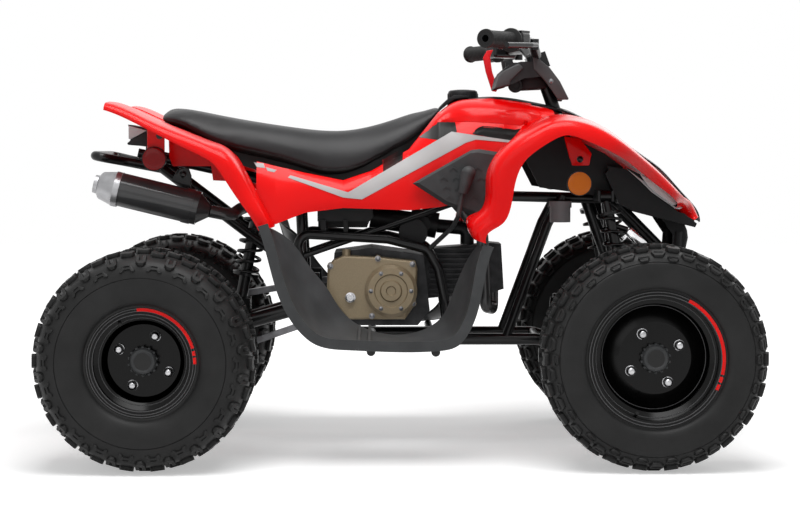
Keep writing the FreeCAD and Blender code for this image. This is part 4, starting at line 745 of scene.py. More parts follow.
class QUAD_OT_wheel_trim(bpy.types.Operator):
    """Adds the rims' red bands and rolled edges, the hub caps, the domed nuts and the valve stems."""

    bl_idname = "quad.wheel_trim"
    bl_label = "Wheel trim"

    def execute(self, context):
        trim = context.scene.quad_tyre
        for end in ("rear", "front"):
            for side in ("right", "left"):
                wheel = Wheel(end, side, trim)
                lip = wheel.seat + trim.rim_wall + BAND_GAP
                bands = [arc_band(wheel, lip, first, last) for first, last in RIM_BANDS[end]]
                settle(joined(bands), f"rim_band_{end}_{side}", "red film", wheel.body, "wheel_paint")
                self.edges(wheel)
                self.hub_cap(wheel)
                self.nuts(wheel, trim)
                self.valve(wheel)
        return {"FINISHED"}

    def turned(self, wheel, rows, start_out, steps=48, whole=False, offset=Vector()):
        """A piece turned about the wheel's axis, or beside it. A row is (distance out, radius) in mm."""
        points = [offset + wheel.at(start_out + out * MM, radius * MM) for out, radius in rows]
        return lathe(points, wheel.centre + offset, ACROSS, steps, whole)

    def edges(self, wheel):
        """The rim's rolled edges, in a light grey enamel that is a painted highlight of the lamps on the black
        rim.
        """
        rim = NODES[f"rim_{wheel.end}_{wheel.side}"]
        rings = []
        for radius in RIM_LINES[wheel.end]:
            far = wheel.at(PROBE_START, radius * MM, math.radians(PROBE_TURN))
            spot = rim.ray_cast(far, Vector((0, -wheel.sign, 0)))[1]
            out = abs(spot.y - wheel.centre.y)
            rings.append(self.turned(wheel, [(a, radius + b) for a, b in RIM_EDGE], out, 72, True))
        name = f"rim_edges_{wheel.end}_{wheel.side}"
        # The rings' light grey is a painted highlight on the black rim's edges
        settle(joined(rings), name, "highlight grey enamel", wheel.body, "wheel_paint", 35)

    def hub_cap(self, wheel):
        """A moulded cap with grip ribs round it and a bare dished face."""
        low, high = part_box("rear_axle" if wheel.end == "rear" else f"hub_front_{wheel.side}")
        nose = (high.y if wheel.sign > 0 else -low.y) - abs(wheel.centre.y)
        cap = self.turned(wheel, HUB_CAP, nose)
        foot = [wheel.at(nose - 19 * MM, 27.4 * MM, turn) for turn in (-0.09, 0.09)]
        crest = [wheel.at(nose - 19 * MM, 30.2 * MM, turn) for turn in (0.06, -0.06)]
        rib = slab(foot + crest, Vector((0, wheel.sign * 16 * MM, 0)))
        ribs = repeat_round(rib, HUB_RIBS, wheel.centre, ACROSS)
        name = f"hub_cap_{wheel.end}_{wheel.side}"
        settle(joined([cap, ribs]), name, "pad plastic", wheel.body, "grip_rubber", 35)

    def nuts(self, wheel, trim):
        """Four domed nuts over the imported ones."""
        disc = trim.rear_disc_out if wheel.end == "rear" else trim.front_disc_out
        turn = math.radians(NUT_TURNS[wheel.end, wheel.side])
        offset = wheel.at(0, trim.stud_circle / 2, turn) - wheel.centre
        nut = self.turned(wheel, WHEEL_NUT, disc, 24, offset=offset)
        nuts = repeat_round(nut, STUDS, wheel.centre, ACROSS)
        settle(nuts, f"wheel_nuts_{wheel.end}_{wheel.side}", "zinc", wheel.body, "steel", 35)

    def valve(self, wheel):
        """A rubber valve stem in the rim's outer trough."""
        turn = math.radians(VALVE_TURNS[wheel.end])
        root = wheel.at(wheel.seat - 20 * MM, wheel.bead - 2 * MM, turn)
        head = wheel.at(wheel.seat + 1 * MM, wheel.bead - 13 * MM, turn)
        along = (head - root).normalized()
        side_way = along.cross(Vector((0.31, 0.2, 0.93))).normalized()
        points = [root + (head - root) * share + side_way * (r * MM) for share, r in VALVE_STEM]
        stem = lathe(points, root, along, 16, False)
        settle(stem, f"valve_{wheel.end}_{wheel.side}", "hose rubber", wheel.body, "grip_rubber", 40)


# Films on the panels


def mapped_grid(across, down, place):
    """A sheet of cells whose points are put by place(share across, share down)."""
    deselect()
    bpy.ops.mesh.primitive_grid_add(x_subdivisions=across, y_subdivisions=down, size=1)
    obj = bpy.context.object
    for vertex in obj.data.vertices:
        vertex.co = place(vertex.co.x + 0.5, 0.5 - vertex.co.y)
    return obj


def between(rows, share):
    """The row at a share of the way along even rows, each row a tuple of vectors."""
    along = share * (len(rows) - 1)
    k = min(int(along), len(rows) - 2)
    return [Vector(a).lerp(Vector(b), along - k) for a, b in zip(rows[k], rows[k + 1])]


def film(name, pairs, finish, side, carrier, columns=8, lift=0.8 * MM):
    """A thin film pressed onto a panel. A pair is its top and its low corner as (x, z) in millimetres."""
    sign = SIDES[side]
    outside = sign * FAR_OUT * MM

    def place(across, down):
        top, low = between(pairs, across)
        spot = top.lerp(low, down) * MM
        return Vector((spot.x, outside, spot.y))

    obj = mapped_grid(columns * (len(pairs) - 1), 8, place)
    apply_modifier(
        obj,
        "SHRINKWRAP",
        wrap_method="PROJECT",
        target=NODES[carrier],
        use_project_y=True,
        use_negative_direction=sign > 0,
        use_positive_direction=sign < 0,
        offset=lift,
    )
    landed = [v.co.copy() for v in obj.data.vertices if abs(v.co.y - outside) > MM]
    for vertex in obj.data.vertices:
        if abs(vertex.co.y - outside) < MM:
            spot = vertex.co
            vertex.co.y = min(landed, key=lambda co: (co.x - spot.x) ** 2 + (co.z - spot.z) ** 2).y
    apply_modifier(obj, "SMOOTH", factor=0.5, iterations=2, use_x=False, use_z=False)
    apply_modifier(obj, "SOLIDIFY", thickness=0.4 * MM, offset=0)
    return settle(obj, name, finish, "chassis", "red_plastic", 40)


STRIPE = (
    ((-231, 593), (-236, 588)), ((-109, 557), (-119, 546)), ((-100, 562), (-80, 542)),
    ((110, 685), (139, 661)), ((128, 682), (160, 668)), ((236, 666), (229, 662)),
)
DASHES = (
    (((-308, 620), (-301, 610)), ((-288, 618), (-284, 608))),
    (((-283, 610), (-279, 602)), ((-260, 604), (-265, 599))),
)
REAR_FADE = (((-36, 625), (-35, 600)), ((8, 651), (6, 625)))
TANK_FADE = (
    ((42, 674), (43, 673)), ((62, 688), (69, 669)), ((79, 705), (85, 667)),
    ((100, 705), (104, 676)), ((118, 705), (121, 685)),
)
AIR_SLOT = (
    ((154, 681), (154, 680)), ((166, 693), (162, 678)), ((176, 697), (175, 676)), ((200, 695), (200, 671)),
    ((245, 689), (237, 665)), ((262, 693), (256, 675)), ((273, 698), (279, 689)),
)


class QUAD_OT_films(bpy.types.Operator):
    """Lays the silver stripes, the faded black fields and the air slots on both side panels."""

    bl_idname = "quad.films"
    bl_label = "Panel films"

    def execute(self, context):
        for side in SIDES:
            panel = f"side_panel_{side}"
            film(f"stripe_{side}", STRIPE, "stripe film", side, panel, 36, 1.0 * MM)
            for k, dash in enumerate(DASHES):
                film(f"dash_{k}_{side}", dash, "stripe film", side, panel, 4)
            film(f"rear_fade_{side}", REAR_FADE, "rear fade film", side, panel, 6)
            film(f"tank_fade_{side}", TANK_FADE, "tank fade film", side, panel, 10)
            film(f"air_slot_{side}", AIR_SLOT, "seat base plastic", side, panel, 6)
        return {"FINISHED"}


# Tank


# Each (x, z) in millimetres: the shoulder's edge beside the black strip, then its edge on the side panel
TANK_TOP = (
    (68, 703), (78, 717), (88, 729), (105, 743), (122, 752), (142, 755.5),
    (170, 756), (207, 754), (256, 748), (306, 739), (334, 733),
)
TANK_EDGE_LOW = ((68, 694), (88, 706), (150, 706), (200, 703), (256, 698), (300, 704), (334, 708))
STRIP_HALF = 54
PANEL_HALF = 164
LANDING_GAP = 0.4
STRIP_NOSE = (
    (86, 722), (88, 731), (105, 745), (122, 756), (150, 759),
    (150, 763), (120, 765), (106, 757), (95, 747), (87, 738),
)
FILLER_DEPTH = 20 * MM
FILLER_NECK = ((-30, 0), (-30, 34), (-4, 33.5), (-3, 32), (-3, 0))
FILLER_CAP = ((-6, 0), (-6, 31), (-3, 32.5), (12, 32.5), (16, 31), (18.5, 27), (20, 12), (20, 0))
FILLER_RIB = ((31.5, -2), (33.6, -1), (33.6, 1), (31.5, 2))


def height_at(line, x):
    """The height of a line of (x, z) at a place along the bike, in millimetres."""
    for (x0, z0), (x1, z1) in zip(line, line[1:]):
        if x <= x1:
            break
    return z0 + (z1 - z0) * min(max((x - x0) / (x1 - x0), 0), 1)


class QUAD_OT_tank(bpy.types.Operator):
    """Forms the tank's smooth red shoulders, the strip's nose and the filler with its cap."""

    bl_idname = "quad.tank"
    bl_label = "Tank"

    def execute(self, context):
        for side, sign in SIDES.items():
            self.shoulder(side, sign)
        foot = [Vector((x, -STRIP_HALF, z)) * MM for x, z in STRIP_NOSE]
        nose = slab(foot, Vector((0, 2 * STRIP_HALF * MM, 0)))
        bevel(nose, 2 * MM, 2, 30)
        settle(nose, "strip_nose", "black strip plastic", "chassis", "dark_plastic", 40)
        low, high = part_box("fuel_cap")
        centre = Vector(((low.x + high.x) / 2, 0, high.z - FILLER_DEPTH))
        neck = turned_piece(FILLER_NECK, centre, UPWARDS, 48)
        settle(neck, "filler_neck", "black strip plastic", "chassis", "dark_plastic", 35)
        cap = turned_piece(FILLER_CAP, centre, UPWARDS, 64)
        rib = slab([centre + Vector((x, y, -4)) * MM for x, y in FILLER_RIB], Vector((0, 0, 15 * MM)))
        ribs = repeat_round(rib, 24, centre, UPWARDS)
        cap = settle(joined([cap, ribs]), "filler_cap", "black strip plastic", "chassis", "dark_plastic", 35)
        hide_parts("fuel_cap")
        return {"FINISHED"}

    def shoulder(self, side, sign):
        """One shoulder, bowed out from the strip and drawn down onto the side panel."""
        panel = NODES[f"side_panel_{side}"]
        first, last = TANK_TOP[0][0], TANK_TOP[-1][0]
        columns = 72

        def half_width(x, gap):
            """How far out the panel lies at the shoulder's lower edge, with a gap, in millimetres."""
            far = Vector((x, sign * FAR_OUT, height_at(TANK_EDGE_LOW, x))) * MM
            hit, spot, _, _ = panel.ray_cast(far, Vector((0, -sign, 0)))
            return abs(spot.y) / MM + gap if hit else PANEL_HALF

        def place(across, down, gap=0.0):
            x = first + (last - first) * across
            top, low = height_at(TANK_TOP, x), height_at(TANK_EDGE_LOW, x)
            turn = down * math.pi / 2
            out = STRIP_HALF + (half_width(x, gap) - STRIP_HALF) * math.sin(turn) ** 0.8
            return Vector((x, sign * out, low + (top - low) * math.cos(turn) ** 0.8)) * MM

        obj = mapped_grid(columns, 24, place)
        apply_modifier(obj, "SMOOTH", factor=0.5, iterations=6)
        wrap = {"wrap_method": "NEAREST_SURFACEPOINT", "wrap_mode": "OUTSIDE", "target": panel}
        for _ in range(2):
            apply_modifier(obj, "SHRINKWRAP", offset=2.4 * MM, **wrap)
            apply_modifier(obj, "SMOOTH", factor=0.5, iterations=24)
        for k in range(columns + 1):
            obj.data.vertices[k].co = place(k / columns, 1, LANDING_GAP)
        apply_modifier(face_out(obj), "SOLIDIFY", thickness=1.0 * MM, offset=0)
        settle(obj, f"tank_shoulder_{side}", "red body plastic", "chassis", "red_plastic", 60)


SEAT_PAN = (
    # along the bike, half width, top and bottom
    (-430, 118, 692, 665), (-400, 118, 671, 640), (-360, 118, 656, 622), (-320, 118, 645, 608),
    (-280, 118, 634, 598), (-240, 118, 624, 590), (-200, 117, 612, 580), (-160, 116, 602, 570),
    (-120, 116, 600, 564), (-80, 114, 614, 572), (-40, 110, 637, 590), (0, 102, 659, 618),
    (40, 86, 687, 648), (78, 62, 724, 690),
)


class QUAD_OT_seat_pan(bpy.types.Operator):
    """Closes the space under the seat's edge with the moulded pan's skirt."""

    bl_idname = "quad.seat_pan"
    bl_label = "Seat pan"

    def execute(self, context):
        for side, sign in SIDES.items():
            rows = [((x, sign * y, top), (x, sign * (y + 3), low)) for x, y, top, low in SEAT_PAN]

            def place(across, down):
                top, low = between(rows, across)
                return top.lerp(low, down) * MM

            obj = face_out(mapped_grid(52, 4, place))
            apply_modifier(obj, "SOLIDIFY", thickness=3 * MM, offset=0)
            settle(obj, f"seat_pan_{side}", "seat base plastic", "chassis", "dark_plastic", 40)
        return {"FINISHED"}


# Small fittings


def turned_piece(rows, foot, along, steps=32):
    """A piece turned about a line. A row is (distance along, radius) in millimetres."""
    along = Vector(along).normalized()
    helper = Vector(UPWARDS) if abs(along.z) < 0.8 else Vector((1, 0, 0))
    side_way = along.cross(helper).normalized()
    points = [Vector(foot) + along * (a * MM) + side_way * (r * MM) for a, r in rows]
    whole = rows[0][1] > 0 and rows[-1][1] > 0
    return lathe(points, Vector(foot), along, steps, whole)


BUTTON_HEAD = ((-2, 0), (-2, 8.5), (0.8, 8.5), (1.4, 6.2), (3.6, 5.4), (4.8, 3.2), (4.9, 0))


def bolts(name, places, along, finish, body="chassis", scale=1.0, slot=None):
    """Flanged button-head bolts at the places, given in millimetres."""
    rows = [(a * scale, r * scale) for a, r in BUTTON_HEAD]
    heads = [turned_piece(rows, Vector(place) * MM, along, 16) for place in places]
    return settle(joined(heads), name, finish, body, slot, 35)


GRIP_OVERHANG = 16 * MM
GRIP_RIBS = 17
RIB_PITCH = 5.9


class QUAD_OT_grips(bpy.types.Operator):
    """Moulds the ribbed rubber grips."""

    bl_idname = "quad.grips"
    bl_label = "Grips"

    def execute(self, context):
        for mount in frame["record"]["mounts"]:
            side = mount["name"].rsplit("_", 1)[1]
            outwards = Vector(mount["axis"]).normalized()
            if outwards.y * SIDES[side] < 0:
                outwards = -outwards
            end = Vector(mount["pos_m"]) + outwards * GRIP_OVERHANG
            rows = [(0, 11.4), (0, 19), (4, 19.5), (5.5, 17)]
            for rib in range(GRIP_RIBS):
                at = 8 + RIB_PITCH * rib
                rows += [(at, 15.6), (at + 1.2, 17.2), (at + 3.4, 17.2), (at + 4.6, 15.6)]
            rows += [(110, 17), (112, 25), (117, 25), (118, 23), (118, 11.4)]
            grip = turned_piece(rows, end, -outwards, 48)
            settle(grip, f"ribbed_grip_{side}", "grip rubber", "steering", "grip_rubber", 35)
            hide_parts(f"grip_{side}")
        return {"FINISHED"}


# Plates seen from the side, each corner as (x, z) in millimetres
HEADLAMP_GLASS = (
    (507, 595), (526, 586), (552, 570), (575, 552), (587, 533),
    (582, 529), (574, 531), (536, 558), (523, 571),
)
HEADLAMP_TRIM = (
    (477, 609), (513, 577), (533, 557), (582, 523), (592, 520.5),
    (598, 524), (594, 526), (583, 526.5), (536, 560.5), (516, 580.5),
)
TAIL_GLASS = ((-584, 699), (-544, 688), (-580, 669), (-584, 670))
TAIL_LIP = ((-587, 661), (-578, 668), (-541, 687), (-531, 679), (-532, 660), (-548, 654), (-585, 657))
FRONT_TAB = ((338, 674), (371, 670), (395, 639), (390, 614), (355, 614), (347, 639))
SILENCER_BRACKET = ((-479, 581), (-465, 606), (-442, 610), (-436, 592), (-438, 566))
POD_CHEEK = ((206, 777), (213, 804), (220, 814), (257, 833), (268, 822), (239, 794), (238, 785))
SHIELD_SIDE = (
    (287, 848), (302, 841), (324, 823), (346, 794), (365, 757),
    (364, 754), (341, 755), (328, 775), (310, 799), (290, 820),
)
COLUMN_SHROUD = (
    (254, 788), (262, 797), (280, 808), (300, 808), (314, 796), (321, 784), (318, 779), (258, 776),
)
TETHER = (
    (189, 852), (198, 868), (212, 870), (205, 854), (210, 821),
    (223, 784), (219, 776), (209, 778), (195, 821),
)
# name, outline, how far out, depth, finish, rounding and slot
LAMP_PLATES = (
    ("headlamp_glass", HEADLAMP_GLASS, 172.5, 6, "clear lens", 2.2, "lamp_lens"),
    ("headlamp_trim", HEADLAMP_TRIM, 164.5, 4, "bright trim", 0.8, "lamp_lens"),
    ("tail_glass", TAIL_GLASS, 64.5, 6, "clear lens", 1.2, "lamp_lens"),
    ("tail_lip", TAIL_LIP, 66, 5, "pad plastic", 1.6, "dark_plastic"),
)
POD_PLATES = (
    ("pod_cheek", POD_CHEEK, 78, 9, "pod plastic", 3.5, "dark_plastic"),
    ("shield_side", SHIELD_SIDE, 76.5, 5, "pod plastic", 2.0, "dark_plastic"),
)
SHROUD_PLATES = (("column_shroud", COLUMN_SHROUD, 44, 28, "dark body plastic", 4.0, "dark_plastic"),)


def side_plate(name, outline, out, depth, side, finish, rounding, slot, body="chassis"):
    """A flat moulded piece from its side outline in millimetres, facing outwards, with rounded edges."""
    sign = SIDES[side]
    points = [Vector((x, sign * (out - depth), z)) * MM for x, z in outline]
    plate = slab(points, Vector((0, sign * depth * MM, 0)))
    bevel(plate, rounding * MM, 3, 30)
    return settle(plate, name, finish, body, slot, 40)


def side_plates(plates, side, body="chassis"):
    """One side's plates of a list."""
    for name, outline, out, depth, finish, rounding, slot in plates:
        side_plate(f"{name}_{side}", outline, out, depth, side, finish, rounding, slot, body)


class QUAD_OT_lamps(bpy.types.Operator):
    """Fits the reflectors, and the lenses and trim of the headlamps and the tail lamp."""

    bl_idname = "quad.lamps"
    bl_label = "Lamps"

    def execute(self, context):
        for side, sign in SIDES.items():
            for end, finish in (("front", "amber lens"), ("rear", "red lens")):
                low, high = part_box(f"reflectors_{end}")
                middle = (low + high) / 2
                radius = (high.z - low.z) / 2 / MM
                face = Vector((middle.x, sign * high.y, middle.z))
                rows = ((-1, 0), (-1, radius - 1.4), (1.6, radius - 1.4), (2.6, radius - 3.0))
                rows += ((3.0, radius * 0.5), (3.3, 0))
                lens = turned_piece(rows, face, (0, sign, 0), 48)
                settle(lens, f"reflector_lens_{end}_{side}", finish, "chassis", "lamp_lens", 30)
                collar = ((-6, radius - 1.6), (1.0, radius - 1.6), (1.5, radius - 0.8))
                collar += ((1.0, radius + 0.3), (-6, radius + 0.3))
                rim = turned_piece(collar, face, (0, sign, 0), 48)
                settle(rim, f"reflector_rim_{end}_{side}", "black strip plastic", "chassis", "lamp_lens", 30)
            side_plates(LAMP_PLATES, side)
        return {"FINISHED"}


LID_DEPTH = 12 * MM
RESERVOIR_LID = ((-2, 0), (-2, 25.5), (10, 25.5), (13, 24), (13.5, 0))


class QUAD_OT_body_fixings(bpy.types.Operator):
    """Fits the fenders' red tabs, the panels' bolts, the silencer's bracket and the reservoir's lid."""

    bl_idname = "quad.body_fixings"
    bl_label = "Body fixings"

    def execute(self, context):
        for side, sign in SIDES.items():
            side_plate(f"front_tab_{side}", FRONT_TAB, 262, 10, side, "red body plastic", 2.0, "red_plastic")
            places = [(371, sign * 262, 627), (-495, sign * 262, 675)]
            bolts(f"panel_bolts_{side}", places, (0, sign, 0), "black steel", "chassis", 0.8, "steel")
        side_plate("silencer_bracket", SILENCER_BRACKET, 196, 5, "right", "frame enamel", 1.5, "frame_paint")
        bolts("bracket_bolt", [(-453, -196, 595)], (0, -1, 0), "black steel", "chassis", 1.0, "steel")
        low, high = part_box("brake_reservoir")
        top = Vector(((low.x + high.x) / 2, (low.y + high.y) / 2, high.z - LID_DEPTH))
        lid = turned_piece(RESERVOIR_LID, top, UPWARDS, 40)
        settle(lid, "reservoir_lid", "black strip plastic", "chassis", "dark_plastic", 35)
        return {"FINISHED"}


KEY_SWITCH = ((-10, 0), (-10, 16), (2, 16), (4, 14), (4, 9), (2.5, 8), (2.5, 0))


class QUAD_OT_bar_trim(bpy.types.Operator):
    """Fits the pod's cheeks, the shield's sides, the column's shroud, the key switch and the stop strap."""

    bl_idname = "quad.bar_trim"
    bl_label = "Bar trim"

    def execute(self, context):
        for side, sign in SIDES.items():
            side_plates(POD_PLATES, side, "steering")
            place = [(327, sign * 76.5, 794)]
            bolts(f"shield_bolt_{side}", place, (0, sign, 0), "turned steel", "steering", 0.6, "steel")
            side_plates(SHROUD_PLATES, side, "steering")
        switch = turned_piece(KEY_SWITCH, Vector((252, -52, 786)) * MM, (0, -1, 0), 32)
        settle(switch, "key_switch", "black strip plastic", "steering", "dark_plastic", 35)
        strap = ("engine_stop_strap", TETHER, -97, 4, "right", "red webbing", 1.2, "red_plastic")
        side_plate(*strap, "steering")
        return {"FINISHED"}


SILENCER_FRONT = Vector((-401, -222, 519)) * MM
SILENCER_TAIL = Vector((-606, -222, 569)) * MM
END_CAP = (
    (186, 36.6), (198, 36.9), (201, 35), (226, 28.6), (229, 26),
    (233, 19.4), (241, 18.6), (241, 15), (200, 15), (186, 20),
)


class QUAD_OT_silencer_trim(bpy.types.Operator):
    """Fits the machined end cap to the silencer."""

    bl_idname = "quad.silencer_trim"
    bl_label = "Silencer trim"

    def execute(self, context):
        along = (SILENCER_TAIL - SILENCER_FRONT).normalized()
        cap = turned_piece(END_CAP, SILENCER_FRONT, along, 64)
        settle(cap, "silencer_end_cap", "bright alloy", "chassis", "silencer_alloy", 30)
        return {"FINISHED"}


class QUAD_OT_shock_trim(bpy.types.Operator):
    """Sleeves the front shock absorbers' reservoirs in polished aluminium."""

    bl_idname = "quad.shock_trim"
    bl_label = "Shock absorber trim"

    def execute(self, context):
        for side, sign in SIDES.items():
            top = Vector((481, sign * 181, 478)) * MM
            foot = Vector((518, sign * 187, 440)) * MM
            length = (foot - top).length / MM
            rows = [(2, 9), (2, 10.8), (4, 11.6), (length - 4, 11.6), (length - 1, 10.8), (length - 1, 9)]
            sleeve = turned_piece(rows, top, foot - top)
            settle(sleeve, f"reservoir_sleeve_{side}", "polished alloy", "chassis", "silencer_alloy", 30)
        return {"FINISHED"}


COVER_FACE = -119.2
CLUTCH_CENTRE = (-18, -128.2, 345)
CLUTCH_BOLT_RADIUS = 43
COVER_BOLTS = ((-148, 398), (-46, 414), (28, 402), (29, 318), (-59, 291))
PLUG = ((-1, 0), (-1, 11), (1.5, 11), (2.2, 8), (4.0, 7.4), (4.0, 3.5), (2.6, 3.2), (2.6, 0))


class QUAD_OT_engine_trim(bpy.types.Operator):
    """Fits the engine cover's bolts and its plug."""

    bl_idname = "quad.engine_trim"
    bl_label = "Engine trim"

    def execute(self, context):
        rim = [(x, COVER_FACE, z) for x, z in COVER_BOLTS]
        bolts("cover_bolts", rim, (0, -1, 0), "turned steel", "chassis", 0.75, "steel")
        x, y, z = CLUTCH_CENTRE
        reach = CLUTCH_BOLT_RADIUS
        turns = [math.radians(30 + 60 * k) for k in range(6)]
        ring = [(x + reach * math.sin(turn), y, z + reach * math.cos(turn)) for turn in turns]
        bolts("clutch_bolts", ring, (0, -1, 0), "turned steel", "chassis", 0.55, "steel")
        plug = turned_piece(PLUG, Vector((-105, -122, 331)) * MM, (0, -1, 0))
        settle(plug, "sight_plug", "zinc", "chassis", "steel", 35)
        return {"FINISHED"}


# Seat


PRESS_FRAMES = 20
CLOTH_STIFFNESS = {"tension_stiffness": 40, "compression_stiffness": 40, "bending_stiffness": 8}
SEAM_WIDTH = 2.2 * MM
FLAT_MIDDLE = 30 * MM
SLICE = 8 * MM
RIM_DEPTH = 10 * MM


class QUAD_OT_seat(bpy.types.Operator):
    """Upholsters the seat: foam pressed into a sewn vinyl cover on a moulded base. The black band below the
    sewn line is partly the base's own plastic and partly painted shade under the tucked edge.
    """

    bl_idname = "quad.seat"
    bl_label = "Seat"

    def execute(self, context):
        sizes = context.scene.quad_seat
        packed = NODES["seat"]
        obj = packed.copy()
        obj.data = packed.data.copy()
        bpy.context.scene.collection.objects.link(obj)
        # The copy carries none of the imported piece's marks
        for key in list(obj.keys()):
            del obj[key]
        obj.parent = None
        obj.hide_render = False
        start(obj)
        bpy.ops.mesh.remove_doubles(threshold=1e-5)
        leave()
        apply_modifier(obj, "REMESH", mode="VOXEL", voxel_size=sizes.voxel)
        rest = [v.co.copy() for v in obj.data.vertices]
        self.press(obj, sizes)
        for vertex, home in zip(obj.data.vertices, rest):
            shift = vertex.co - home
            if shift.length > sizes.swell:
                vertex.co = home + shift.normalized() * sizes.swell
        apply_modifier(obj, "SMOOTH", factor=0.6, iterations=14)
        apply_modifier(obj, "SUBSURF", levels=1, render_levels=1)
        edge = self.lower_edge(obj)
        self.tuck(obj, edge, sizes)
        settle(obj, "seat_cover", "vinyl", "chassis", "seat_cover")
        # Faces below the sewn line take the black base plastic: partly the base's own colour, partly painted
        # shade under the tucked edge
        obj.data.materials.append(material("seat base plastic"))
        for face in obj.data.polygons:
            above = face.center.z - self.edge_at(edge, face.center.x)
            face.material_index = 1 if above < sizes.base_height else 0
        take(obj)
        bpy.ops.object.shade_smooth()
        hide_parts("seat")
        return {"FINISHED"}

    def press(self, obj, sizes):
        """Lets the foam fill its cover: cloth with air pressure and no weight."""
        take(obj)
        cloth = obj.modifiers.new("Cover", "CLOTH")
        cloth.settings.use_pressure = True
        cloth.settings.uniform_pressure_force = sizes.pressure
        cloth.settings.effector_weights.gravity = 0
        for key, value in CLOTH_STIFFNESS.items():
            setattr(cloth.settings, key, value)
        cloth.point_cache.frame_start = 1
        cloth.point_cache.frame_end = PRESS_FRAMES
        for frame_number in range(1, PRESS_FRAMES + 1):
            bpy.context.scene.frame_set(frame_number)
        bpy.ops.object.modifier_apply(modifier=cloth.name)
        bpy.context.scene.frame_set(1)

    def lower_edge(self, obj):
        """The height of the seat's lower outer edge along the bike, in even steps."""
        low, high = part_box("seat")
        steps = 48
        edge = []
        for k in range(steps + 1):
            x = low.x + (high.x - low.x) * k / steps
            near = [v.co for v in obj.data.vertices if abs(v.co.x - x) < SLICE]
            wide = max((abs(co.y) for co in near), default=0)
            rim = [co.z for co in near if abs(co.y) > wide - RIM_DEPTH]
            edge.append((x, min(rim, default=low.z)))
        return edge

    def edge_at(self, edge, x):
        """The lower edge's height at a place along the bike."""
        first, last = edge[0][0], edge[-1][0]
        share = min(max((x - first) / (last - first), 0), 1) * (len(edge) - 1)
        k = min(int(share), len(edge) - 2)
        return edge[k][1] + (edge[k + 1][1] - edge[k][1]) * (share - k)

    def tuck(self, obj, edge, sizes):
        """Draws the cover in along its sewn line, and tucks it under towards the base."""
        for vertex in obj.data.vertices:
            above = vertex.co.z - self.edge_at(edge, vertex.co.x)
            seam = math.exp(-(((above - sizes.base_height) / SEAM_WIDTH) ** 2)) * sizes.seam_depth
            under = max(0.0, 1 - above / sizes.base_height) ** 2 * sizes.tuck if above > 0 else sizes.tuck
            inwards = Vector((0, -1 if vertex.co.y > 0 else 1, 0))
            if abs(vertex.co.y) > FLAT_MIDDLE:
                vertex.co += inwards * (seam + under)


# Stage


class QUAD_OT_studio(bpy.types.Operator):
    """Sets a white sweep, soft lamps and the camera."""

    bl_idname = "quad.studio"
    bl_label = "Studio"

    def execute(self, context):
        sizes = context.scene.quad_studio
        deselect()
        bpy.ops.mesh.primitive_plane_add(size=2 * sizes.sweep, location=(0, 0, 0))
        bpy.ops.object.mode_set(mode="EDIT")
        bpy.ops.mesh.subdivide(number_cuts=3)
        floor = leave()
        floor.name = "floor"
        floor.data.materials.append(material("floor paper"))
        world = bpy.data.worlds.new("soft room")
        context.scene.world = world
        world.use_nodes = True
        tree = world.node_tree
        tree.nodes.clear()
        white = {"Color": tone("#FFFFFF")}
        room = add_node(tree, "ShaderNodeBackground", values=white | {"Strength": sizes.room_light})
        plain = add_node(tree, "ShaderNodeBackground", values=white)
        seen = plainly_seen(tree, room.outputs["Background"], plain.outputs["Background"])
        add_node(tree, "ShaderNodeOutputWorld", links={"Surface": seen})
        for name, place, energy in (
            ("top_light", (0.0, -0.9, 2.8), sizes.top_light),
            ("near_light", (-1.2, -3.2, 1.8), sizes.near_light),
            ("far_light", (1.6, 2.4, 1.9), sizes.far_light),
        ):
            lamp = bpy.data.lights.new(name, "AREA")
            lamp.size = sizes.lamp_size
            lamp.energy = energy
            obj = bpy.data.objects.new(name, lamp)
            obj.location = place
            aim = Vector((0, 0, 0.4)) - obj.location
            obj.rotation_euler = aim.to_track_quat("-Z", "Y").to_euler()
            context.scene.collection.objects.link(obj)
        camera = bpy.data.cameras.new("camera")
        camera.lens = sizes.lens
        camera.sensor_width = 36
        eye = bpy.data.objects.new("camera", camera)
        eye.location = sizes.camera_place
        eye.rotation_euler = (math.pi / 2 - sizes.camera_pitch, 0, -sizes.camera_yaw)
        context.scene.collection.objects.link(eye)
        context.scene.camera = eye
        context.scene.view_settings.view_transform = "Standard"
        return {"FINISHED"}


# Sizes and colours that a user would change


def metres(name, description, value):
    """A length property in metres."""
    return bpy.props.FloatProperty(
        name=name, description=description, default=value, unit="LENGTH", precision=4
    )


def number(name, description, value, unit="NONE"):
    """A plain number property, or one shown in a unit."""
    return bpy.props.FloatProperty(name=name, description=description, default=value, unit=unit)


def degrees(name, description, value):
    """An angle property, whose default is given in degrees."""
    return bpy.props.FloatProperty(
        name=name, description=description, default=math.radians(value), subtype="ANGLE"
    )


def paint(name, description, code):
    """A colour property, whose default is given as sRGB hex."""
    return bpy.props.FloatVectorProperty(
        name=name, description=description, default=linear(code)[:3], subtype="COLOR", min=0.0, max=1.0
    )


def whole_number(name, description, value, least):
    """A whole number property."""
    return bpy.props.IntProperty(name=name, description=description, default=value, min=least)


class QuadBody(bpy.types.PropertyGroup):
    smooth_angle: degrees("Smooth angle", "Edges softer than this are shaded smooth", 32.0)


class QuadColours(bpy.types.PropertyGroup):
    body_deep: paint("Body, deep", "Darker colour of the red body plastic", "#DC0204")
    body_light: paint("Body, light", "Lighter colour of the red body plastic", "#E60706")
    stripe_deep: paint("Stripe, deep", "Darker colour of the silver stripes", "#A9A9A9")
    stripe_light: paint("Stripe, light", "Lighter colour of the silver stripes", "#B0B0B0")
    band_deep: paint("Rim band, deep", "Darker colour of the bands on the rims", "#EC1110")
    band_light: paint("Rim band, light", "Lighter colour of the bands on the rims", "#F51B18")
    engine_deep: paint("Engine, deep", "Darker colour of the engine cover's paint", "#82745C")
    engine_light: paint("Engine, light", "Lighter colour of the engine cover's paint", "#918267")


